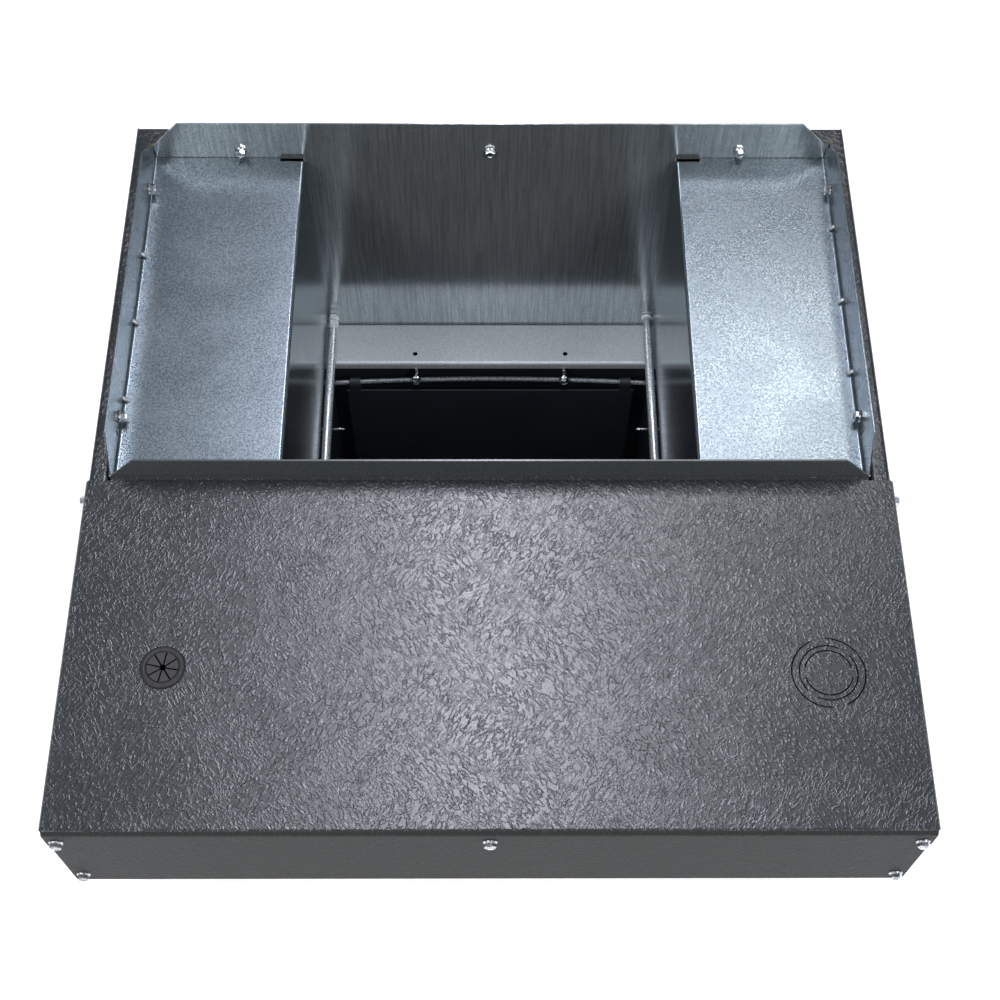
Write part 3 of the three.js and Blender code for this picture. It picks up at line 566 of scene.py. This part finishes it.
def copies(tree, points, shape, seed=None):
    """Copies of a shape on the points, facing outward, and spun at random where there is a seed."""
    turn = outward_turn(tree)
    if seed is not None:
        angle = put(tree, "FunctionNodeRandomValue", {"data_type": "FLOAT"},
                    {2: 0.0, 3: math.tau, "Seed": seed}).outputs[1]
        spin = put(tree, "FunctionNodeAxisAngleToRotation", None,
                   {"Axis": (0, 0, 1), "Angle": angle}).outputs[0]
        turn = put(tree, "FunctionNodeRotateRotation", {"rotation_space": "LOCAL"},
                   {0: turn, 1: spin}).outputs[0]
    return put(tree, "GeometryNodeInstanceOnPoints", None,
               {0: points, "Instance": shape, "Rotation": turn}).outputs[0]


FLANGE_TAPER = 0.86
HEAD_STEPS = ((0.82, 1.0), (0.18, 0.86), (0.0, 0.84), (-0.16, 0.9))  # a share of its height, and of the width so far
HEX_CORNER = 0.5 / math.cos(math.pi / 6)  # a hexagon's corner radius over its width across flats
ROOT, CREST, POINT = 0.39, 0.43, 0.6  # shares of the shank's diameter
POINT_RADIUS = 0.3
THREAD_RIDGE = 0.24


def screw_tree():
    """A screw: a flanged hexagon head with a chamfer and a dished top, and a threaded shank with a point."""
    tree, given = new_group("hex_washer_screw", Gap=0.3, Washer=8.4, WasherHigh=0.9, Hex=6.4, HexHigh=3.0,
                            Shank=3.2, Length=8.0, Pitch=1.3, Seed=3)
    m = metres(tree, given, "Gap", "Washer", "WasherHigh", "Hex", "HexHigh", "Shank", "Length", "Pitch")
    rim = calc(tree, "MULTIPLY", m["Washer"], 0.5)
    flange = put(tree, "GeometryNodeMeshCone", None, {
        "Vertices": 32, "Radius Bottom": rim, "Radius Top": calc(tree, "MULTIPLY", rim, FLANGE_TAPER),
        "Depth": m["WasherHigh"]})
    flange = moved(tree, flange.outputs[0], m["Gap"])
    corner = calc(tree, "MULTIPLY", m["Hex"], HEX_CORNER)
    plan = put(tree, "GeometryNodeMeshCircle", {"fill_type": "NGON"},
               {"Vertices": 6, "Radius": corner}).outputs[0]
    head, top = plan, None
    for rise, shrink in HEAD_STEPS:
        extrude = put(tree, "GeometryNodeExtrudeMesh", {"mode": "FACES"},
                      {0: head, "Offset Scale": calc(tree, "MULTIPLY", m["HexHigh"], rise)})
        if top:
            tree.links.new(top, extrude.inputs[1])
        top = extrude.outputs[1]
        head = put(tree, "GeometryNodeScaleElements", {"domain": "FACE"},
                   {0: extrude.outputs[0], "Selection": top, "Scale": shrink}).outputs[0]
    under = put(tree, "GeometryNodeFlipFaces", None, {0: plan}).outputs[0]
    head = put(tree, "GeometryNodeMergeByDistance", None,
               {0: joined(tree, head, under), "Distance": mm(0.005)}).outputs[0]
    head = moved(tree, head, calc(tree, "MULTIPLY_ADD", m["WasherHigh"], 0.5, m["Gap"]))
    root = calc(tree, "MULTIPLY", m["Shank"], ROOT)
    point = calc(tree, "MULTIPLY", m["Shank"], POINT)
    plain = calc(tree, "SUBTRACT", m["Length"], point)
    shank = put(tree, "GeometryNodeMeshCone", None, {
        "Vertices": 16, "Radius Bottom": root, "Radius Top": root,
        "Depth": calc(tree, "ADD", plain, m["Gap"])}).outputs[0]
    shank = moved(tree, shank, calc(tree, "MULTIPLY", plain, -1.0))
    tip = put(tree, "GeometryNodeMeshCone", None, {
        "Vertices": 16, "Radius Bottom": root, "Radius Top": mm(POINT_RADIUS), "Depth": point}).outputs[0]
    tip = moved(tree, moved(tree, tip, 0.0, (math.pi, 0, 0)), calc(tree, "MULTIPLY", plain, -1.0))
    crest = calc(tree, "MULTIPLY", m["Shank"], CREST)
    spiral = put(tree, "GeometryNodeCurveSpiral", None, {
        "Resolution": 16, "Rotations": calc(tree, "DIVIDE", m["Length"], m["Pitch"]), "Start Radius": crest,
        "End Radius": crest, "Height": plain}).outputs[0]
    ridge = put(tree, "GeometryNodeCurvePrimitiveCircle", None,
                {"Resolution": 3, "Radius": mm(THREAD_RIDGE)}).outputs[0]
    thread = put(tree, "GeometryNodeCurveToMesh", None,
                 {0: spiral, "Profile Curve": ridge, "Fill Caps": True}).outputs[0]
    thread = moved(tree, thread, 0.0, (math.pi, 0, 0))
    made = copies(tree, given["Geometry"], joined(tree, flange, head, shank, tip, thread), given["Seed"])
    return end_group(tree, given, made)


def grown(tree, places, finish, name, **sizes):
    """The tree's result on points that are (place, outward) pairs in millimetres, as a plain mesh."""
    mesh = bpy.data.meshes.new(name)
    mesh.from_pydata([mm(*place) for place, outward in places], [], [])
    facing = mesh.attributes.new("outward", "FLOAT_VECTOR", "POINT")
    facing.data.foreach_set("vector", [c for place, outward in places for c in outward])
    holder = placed(name, mesh)
    growth = holder.modifiers.new("growth", "NODES")
    growth.node_group = tree
    sockets = {i.name: i.identifier for i in tree.interface.items_tree if i.in_out == "INPUT"}
    growth[sockets["Finish"]] = finish
    for label, value in sizes.items():
        growth[sockets[label]] = value
    made = finished(holder)
    made.name = name
    return made


LEFT, RIGHT, FRONT, BACK, UP = (Vector(v) for v in (
    (-1, 0, 0), (1, 0, 0), (0, -1, 0), (0, 1, 0), (0, 0, 1)))
HEAD_HIGH = 4.2  # a head's outer face to its seat


def seat(node, outward):
    """The point that a screw's head sits on, from its CAD box and the way that its head faces."""
    centre, reach = middle(node), high(node) - low(node)
    return centre + outward * (abs(reach.dot(outward)) / 2 - HEAD_HIGH)


def screw_length(node, outward):
    return abs((high(node) - low(node)).dot(outward)) - HEAD_HIGH


HEADS = {"fold_screw_left": FRONT, "fold_screw_middle": FRONT, "fold_screw_right": FRONT,
         "panel_screw_left": FRONT, "panel_screw_right": FRONT,
         "rear_collar_screw_left": FRONT, "rear_collar_screw_middle": FRONT, "rear_collar_screw_right": FRONT,
         "hood_screw_left": LEFT, "hood_screw_right": RIGHT, "ground_screw": UP,
         "collar_screw_left_front": RIGHT, "collar_screw_left_rear": RIGHT,
         "collar_screw_right_front": LEFT, "collar_screw_right_rear": LEFT}
SLEEVE_HEADS = {"sleeve_screw_left": LEFT, "sleeve_screw_right": RIGHT}
ROD_HEADS = {"rod_bolt_left": FRONT, "rod_bolt_right": FRONT}
screws = screw_tree()
for name, heads, pitch in (("case_screws", HEADS, 1.3), ("sleeve_screws", SLEEVE_HEADS, 1.6),
                           ("rod_bolts", ROD_HEADS, 0.9)):
    places = [(seat(node, outward), outward) for node, outward in heads.items()]
    shortest = min(screw_length(node, outward) for node, outward in heads.items())
    add_piece(name, grown(screws, places, zinc, name, Length=shortest, Pitch=pitch), "cabinet",
              list(heads))


# ---- Turned and swept pieces

def turned(profile, origin, axis, sides):
    """Fills a bmesh with a turned shape. The profile is (radius, distance along the axis), and ends on the
    axis or comes back to its first point."""
    turn = Vector((0, 0, 1)).rotation_difference(axis)

    def build(shape):
        rings = []
        for radius, along in profile:
            count = 1 if radius == 0 else sides
            rings.append([shape.verts.new(mm(*(origin + turn @ Vector((
                radius * math.cos(math.tau * k / sides), radius * math.sin(math.tau * k / sides), along)))))
                for k in range(count)])
        loops = list(zip(rings, rings[1:]))
        if profile[0][0] and profile[-1][0]:
            loops.append((rings[-1], rings[0]))
        for a, b in loops:
            for k in range(sides):
                corners = [a[k % len(a)], a[(k + 1) % len(a)], b[(k + 1) % len(b)], b[k % len(b)]]
                unique = list(dict.fromkeys(corners))
                if len(unique) > 2:
                    shape.faces.new(unique)
    return build


BAR_EDGE = 0.6


def swept(points, radius, sides=24):
    """Fills a bmesh with a round bar along points, with its ends broken. All its turns lie in one plane."""
    def build(shape):
        last = len(points) - 1
        tangents = [(points[min(i + 1, last)] - points[max(i - 1, 0)]).normalized() for i in range(last + 1)]
        side = tangents[0].orthogonal().normalized()
        rings = []
        stops = [(points[0], tangents[0], 0), (points[0], tangents[0], radius - BAR_EDGE)]
        stops += [(points[0] + tangents[0] * BAR_EDGE, tangents[0], radius)]
        stops += [(p, t, radius) for p, t in list(zip(points, tangents))[1:-1]]
        stops += [(points[-1] - tangents[-1] * BAR_EDGE, tangents[-1], radius),
                  (points[-1], tangents[-1], radius - BAR_EDGE), (points[-1], tangents[-1], 0)]
        for place, tangent, size in stops:
            side = (side - tangent * side.dot(tangent)).normalized()
            other = tangent.cross(side)
            count = 1 if size == 0 else sides
            rings.append([shape.verts.new(mm(*(
                place + side * size * math.cos(math.tau * k / sides)
                + other * size * math.sin(math.tau * k / sides)))) for k in range(count)])
        for a, b in zip(rings, rings[1:]):
            for k in range(sides):
                corners = [a[k % len(a)], a[(k + 1) % len(a)], b[(k + 1) % len(b)], b[k % len(b)]]
                shape.faces.new(list(dict.fromkeys(corners)))
    return build


def made_piece(name, builds, material, body, stands_for, angle=SMOOTH_ANGLE):
    def build_all(shape):
        for build in builds:
            build(shape)
    mesh = mesh_from(build_all, material, name)
    shade_by_angle(mesh, angle)
    return add_piece(name, mesh, body, stands_for)


# ---- Guide rails: tubes whose rear ends carry a stack of nuts on the left and a plain cap on the right

RAIL_RADIUS = 3.5
RAIL_FERRULE = 12.0
# Each nut or ring: its start from the rear, its length, its radius and how many sides it has.
LEFT_STACK = ((0, 4.2, 4.4, 6), (5.4, 3.9, 4.4, 6), (10.8, 1.2, 3.9, 40))
RIGHT_STACK = ((0, 2.2, 4.2, 40),)


def rail_profile(length):
    neck = length - RAIL_FERRULE
    return [(0, 0), (RAIL_RADIUS - 0.3, 0), (RAIL_RADIUS, 0.3), (RAIL_RADIUS, neck),
            (RAIL_RADIUS - 0.7, neck + 0.4), (RAIL_RADIUS - 0.7, length - 0.4), (RAIL_RADIUS - 1.1, length),
            (0, length)]


def nut_profile(start, long, radius):
    """A nut or ring round the rail's neck, with its edges broken."""
    bore = RAIL_RADIUS - 0.9
    return [(bore, start), (radius - 0.5, start), (radius, start + 0.4), (radius, start + long - 0.4),
            (radius - 0.5, start + long), (bore, start + long)]


for name, stack in (("guide_rail_left", LEFT_STACK), ("guide_rail_right", RIGHT_STACK)):
    start = Vector((middle(name).x, low(name).y, middle(name).z))
    length = high(name).y - low(name).y
    made_piece(f"{name}_tube", [turned(rail_profile(length), start, BACK, 40)], tube_zinc, "cabinet",
               [name])
    nuts = [turned(nut_profile(length - begin - long, long, radius), start, BACK, sides)
            for begin, long, radius, sides in stack]
    made_piece(f"{name}_nuts", nuts, white_zinc, "cabinet", (), angle=math.radians(30))


# ---- Baffle rod: bowed back in the middle

ROD_RADIUS = 2.0
ROD_POINTS = 40


def rod_points():
    lo, hi = low("baffle_rod"), high("baffle_rod")
    bow = hi.y - lo.y - 2 * ROD_RADIUS
    half = (hi.x - lo.x) / 2
    return [Vector((half * t, hi.y - ROD_RADIUS - bow * t * t, middle("baffle_rod").z))
            for t in (2 * i / ROD_POINTS - 1 for i in range(ROD_POINTS + 1))]


made_piece("baffle_rod_bar", [swept(rod_points(), ROD_RADIUS)], rod_zinc, "cabinet",
           ["baffle_rod"])


# ---- Cable grommet: a moulded ring with eight petals in its mouth

def petal_tree():
    """Petals round a centre: wedges that thin and sag towards their tips."""
    tree, given = new_group("slit_membrane", Count=8, Outer=9.4, Tip=2.0, Thick=0.8, Slit=0.95, Sag=0.7,
                            Turn=0.2)
    m = metres(tree, given, "Outer", "Tip", "Thick", "Slit", "Sag")
    grid = put(tree, "GeometryNodeMeshGrid", None,
               {"Size X": 1.0, "Size Y": 1.0, "Vertices X": 9, "Vertices Y": 9})
    position = put(tree, "GeometryNodeInputPosition").outputs[0]
    place = put(tree, "ShaderNodeSeparateXYZ", None, {0: position}).outputs
    along = calc(tree, "ADD", place[0], 0.5)
    radius = calc(tree, "MULTIPLY_ADD", along, calc(tree, "SUBTRACT", m["Outer"], m["Tip"]), m["Tip"])
    share = calc(tree, "DIVIDE", math.tau, given["Count"])
    lost = calc(tree, "DIVIDE", m["Slit"], radius)
    angle = calc(tree, "MULTIPLY", place[1], calc(tree, "SUBTRACT", share, lost))
    fall = calc(tree, "MULTIPLY", calc(tree, "POWER", calc(tree, "SUBTRACT", 1.0, along), 1.6), m["Sag"])
    spot = put(tree, "ShaderNodeCombineXYZ", None, {
        0: calc(tree, "MULTIPLY", radius, calc(tree, "COSINE", angle)),
        1: calc(tree, "MULTIPLY", radius, calc(tree, "SINE", angle)),
        2: calc(tree, "MULTIPLY", fall, -1.0)}).outputs[0]
    wedge = put(tree, "GeometryNodeSetPosition", None, {0: grid.outputs[0], "Position": spot}).outputs[0]
    body = put(tree, "GeometryNodeExtrudeMesh", {"mode": "FACES"},
               {0: wedge, "Offset": (0, 0, -1), "Offset Scale": m["Thick"], "Individual": False}).outputs[0]
    lid = put(tree, "GeometryNodeFlipFaces", None, {0: body}).outputs[0]
    whole = put(tree, "GeometryNodeMergeByDistance", None,
                {0: joined(tree, lid, wedge), "Distance": mm(0.001)}).outputs[0]
    line = put(tree, "GeometryNodeMeshLine", None, {"Count": given["Count"], "Offset": (0, 0, 0)}).outputs[0]
    index = put(tree, "GeometryNodeInputIndex").outputs[0]
    spin = put(tree, "ShaderNodeCombineXYZ", None,
               {2: calc(tree, "MULTIPLY_ADD", index, share, given["Turn"])}).outputs[0]
    petals = put(tree, "GeometryNodeInstanceOnPoints", None,
                 {0: line, "Instance": whole, "Rotation": spin}).outputs[0]
    return end_group(tree, given, copies(tree, given["Geometry"], petals), smooth=False)


def make_grommet():
    lo, hi = low("cable_grommet"), high("cable_grommet")
    flange = (hi.x - lo.x) / 2
    centre = Vector((middle("cable_grommet").x, middle("cable_grommet").y, HOOD_DECK))
    rise, neck, bore, low_rim = hi.z - HOOD_DECK, 10.7, 9.3, lo.z - HOOD_DECK
    profile = [(bore, 0.2), (bore + 0.5, rise - 0.5), (bore + 1.1, rise), (flange - 1.6, rise),
               (flange - 0.4, rise - 0.6), (flange, 0.5), (flange - 0.2, 0.3), (neck, 0.3), (neck, -1.4),
               (flange - 0.3, -1.5), (flange - 0.9, low_rim), (bore + 0.3, low_rim), (bore, -1.2)]
    ring = mesh_from(turned(profile, centre, UP, 56), rubber, "cable_grommet_ring")
    shade_by_angle(ring)
    petals = grown(petal_tree(), [(centre + Vector((0, 0, 0.1)), UP)], membrane, "petals")
    ring.materials.append(membrane)
    shape = bmesh.new()
    shape.from_mesh(petals)
    for face in shape.faces:
        face.material_index = 1
    shape.from_mesh(ring)
    shape.to_mesh(ring)
    shape.free()
    add_piece("cable_grommet_ring", ring, "cabinet", ["cable_grommet"])


make_grommet()


# ---- Dimples pressed across the collar folds, and braze at the mitres

def dart_tree():
    """A dart pressed across a fold: a small smooth ridge at half a right angle, pinched at its ends."""
    tree, given = new_group("pressed_dart", Long=9.0, Wide=3.2, High=2.8)
    ball = put(tree, "GeometryNodeMeshUVSphere", None,
               {"Segments": 20, "Rings": 14, "Radius": 0.5}).outputs[0]
    m = metres(tree, given, "Long", "Wide", "High")
    size = put(tree, "ShaderNodeCombineXYZ", None, {0: m["Long"], 1: m["Wide"], 2: m["High"]}).outputs[0]
    made = put(tree, "GeometryNodeTransform", None, {0: ball, "Scale": size}).outputs[0]
    return end_group(tree, given, copies(tree, given["Geometry"], made), smooth=True)


DART_YS = {"left": (152, 96, 35), "right": (176, 114, 56)}
DART_INSET = 1.6  # from the fold's inner corner, away from both of its sheets
COLLAR_FACE = 0.3  # the side collars' inner faces lie this far past the rear wall's ends
PLATE_OVER_LEDGE = 206
darts = dart_tree()
for side, sign in (("left", -1), ("right", 1)):
    edge_x = sign * (high("liner_back").x + COLLAR_FACE)
    deck = high("ledge").z + PLATE_OVER_LEDGE
    places = [(Vector((edge_x - sign * DART_INSET, y, deck + DART_INSET)), Vector((-sign, 0, 1)).normalized())
              for y in DART_YS[side]]
    name = f"{side}_collar_darts"
    # The darts are pressed in the galvanised collar sheet but take the brighter tube zinc: a painted highlight.
    add_piece(name, grown(darts, places, tube_zinc, name), "cabinet")


LUMP_SIZE = 1.3
LUMP_DEPTH = 0.14  # a share of the spill's size


def braze_tree():
    """Spilt braze: lumps of uneven size, half sunk, that run together."""
    tree, given = new_group("braze_spill", Size=2.4, Flat=0.35, Seed=5)
    size = metres(tree, given, "Size")["Size"]
    lump = calc(tree, "MULTIPLY", given["Size"], LUMP_DEPTH * MM)
    ball = put(tree, "GeometryNodeMeshIcoSphere", None, {"Radius": 0.5, "Subdivisions": 4}).outputs[0]
    squat = put(tree, "ShaderNodeCombineXYZ", None, {
        0: size, 1: size, 2: calc(tree, "MULTIPLY", size, given["Flat"])}).outputs[0]
    ball = put(tree, "GeometryNodeTransform", None, {0: ball, "Scale": squat}).outputs[0]
    share = put(tree, "FunctionNodeRandomValue", {"data_type": "FLOAT"},
                {2: 0.5, 3: 1.0, "Seed": given["Seed"]}).outputs[1]
    made = put(tree, "GeometryNodeInstanceOnPoints", None, {
        0: given["Geometry"], "Instance": ball, "Rotation": outward_turn(tree), "Scale": share}).outputs[0]
    real = put(tree, "GeometryNodeRealizeInstances", None, {0: made}).outputs[0]
    place = put(tree, "GeometryNodeInputPosition").outputs[0]
    lumps = put(tree, "ShaderNodeTexNoise", None,
                {"Vector": place, "Scale": 1 / mm(LUMP_SIZE), "Detail": 1.0}).outputs[0]
    facing = put(tree, "GeometryNodeInputNormal").outputs[0]
    push = put(tree, "ShaderNodeVectorMath", {"operation": "SCALE"}, {
        0: facing, "Scale": calc(tree, "MULTIPLY", calc(tree, "SUBTRACT", lumps, 0.5), lump)}).outputs[0]
    uneven = put(tree, "GeometryNodeSetPosition", None, {0: real, "Offset": push}).outputs[0]
    return end_group(tree, given, uneven, smooth=True)


def braze_metal():
    """Silicon-bronze braze: a dull brassy bead, browned by heat."""
    material, tree, surface, place = new_material("silicon_bronze_braze", Metallic=0.55)
    scorch = noise(tree, place, 1.4, detail=3)
    tone = blend_colours(tree, scorch, linear("#2f2c26"), linear("#6e654e"))
    tree.links.new(tone, surface.inputs["Base Color"])
    tree.links.new(spread(tree, scorch, 0.3, 0.7, 0.3, 0.5), surface.inputs["Roughness"])
    bump(tree, surface, (scorch, 0.05))
    return material


MITRE_SPILLS = {"left": ((0.0, 0), (0.05, 1.2), (0.1, -0.5)),
                "right": ((0.22, 0), (0.3, 0.9), (0.4, -0.6), (0.52, 0.3), (0.6, 1.1), (0.7, -0.3),
                          (0.84, 0.4))}


MITRE_INNER_X = 240.5
MITRE_INNER_GAP = 0.2
MITRE_OUTER_GAP = 2.5


def mitre_places(sign, spills):
    """Points by the mitre at a rear corner: each is a share of the way out to the box's corner, and how far
    to the side."""
    lo, hi = low("back_panel"), high("back_panel")
    inner = Vector((sign * MITRE_INNER_X, lo.y + MITRE_INNER_GAP, hi.z))
    outer = Vector((sign * (hi.x - MITRE_OUTER_GAP), hi.y - MITRE_OUTER_GAP, hi.z))
    return [(inner.lerp(outer, t) + Vector((across, 0, 0)), UP) for t, across in spills]


bronze = braze_metal()
spill = braze_tree()
for side, sign in (("left", -1), ("right", 1)):
    name = f"{side}_corner_braze"
    places = mitre_places(sign, MITRE_SPILLS[side])
    add_piece(name, grown(spill, places, bronze, name), "cabinet")


# ---- Lock, pull and bumpers

def make_lock():
    centre = Vector((middle("lock_body").x, low("retrieval_door").y, middle("lock_body").z))
    front = low("lock_body").y - centre.y
    back = high("lock_body").y - centre.y
    head, barrel, bore = (high("lock_body").x - low("lock_body").x) / 2, 9.5, 6.8
    profile = [(bore, front + 0.5), (bore + 0.4, front), (head - 1.6, front), (head - 0.6, front + 0.35),
               (head, front + 1.1), (head, -0.35), (head - 0.1, -0.3), (barrel, -0.3)]
    thread_from, thread_to, pitch, thread_deep = 0.3, back - 0.6, 1.0, 0.45
    count = int((thread_to - thread_from) / pitch)
    for k in range(count):
        at = thread_from + k * pitch
        profile += [(barrel, at), (barrel - thread_deep, at + pitch / 2)]
    profile += [(barrel, thread_to), (barrel - 0.5, back), (bore, back)]
    made_piece("lock_barrel", [turned(profile, centre, BACK, 56)], zinc, "door", ["lock_body"])


make_lock()


def rounded_path(points, radius):
    """The points joined by straight lines, with each inner corner rounded."""
    steps = 8
    path = [points[0]]
    for before, corner, after in zip(points, points[1:], points[2:]):
        start = corner + (before - corner).normalized() * radius
        end = corner + (after - corner).normalized() * radius
        shares = (k / steps for k in range(steps + 1))
        path += [start.lerp(corner, t).lerp(corner.lerp(end, t), t) for t in shares]
    return path + [points[-1]]


def make_pull():
    lo, hi = low("door_pull"), high("door_pull")
    bar, foot, foot_high, bend, sunk = 4.0, 8.0, 3.0, 13, 0.5
    x, root, crest = middle("door_pull").x, hi.y, lo.y + bar
    ends = (lo.z + foot, hi.z - foot)
    corners = [Vector((x, root - sunk, ends[0])), Vector((x, crest, ends[0])), Vector((x, crest, ends[1])),
               Vector((x, root - sunk, ends[1]))]
    builds = [swept(rounded_path(corners, bend), bar, 28)]
    profile = [(0, 0), (foot - 0.4, 0), (foot, 0.4), (foot, foot_high - 1.2), (foot - 0.7, foot_high - 0.3),
               (bar + 1.2, foot_high), (bar + 0.2, foot_high + 0.6), (0, foot_high + 0.6)]
    for z in ends:
        builds.append(turned(profile, Vector((x, root, z)), FRONT, 48))
    made_piece("door_pull_bow", builds, zinc, "door", ["door_pull"])


make_pull()


def make_bumper(node):
    lo, hi = low(node), high(node)
    radius, tall = (hi.x - lo.x) / 2, hi.y - lo.y
    profile = [(0, 0), (radius, 0), (radius, 0.2), (radius - 0.25, tall * 0.6), (radius - 1.0, tall * 0.92),
               (radius - 2.2, tall), (0, tall)]
    foot = Vector((middle(node).x, hi.y, middle(node).z))
    made_piece(f"{node}_dome", [turned(profile, foot, FRONT, 40)], rubber, body_of[node], [node])


make_bumper("door_bumper_lower")
make_bumper("door_bumper_upper")
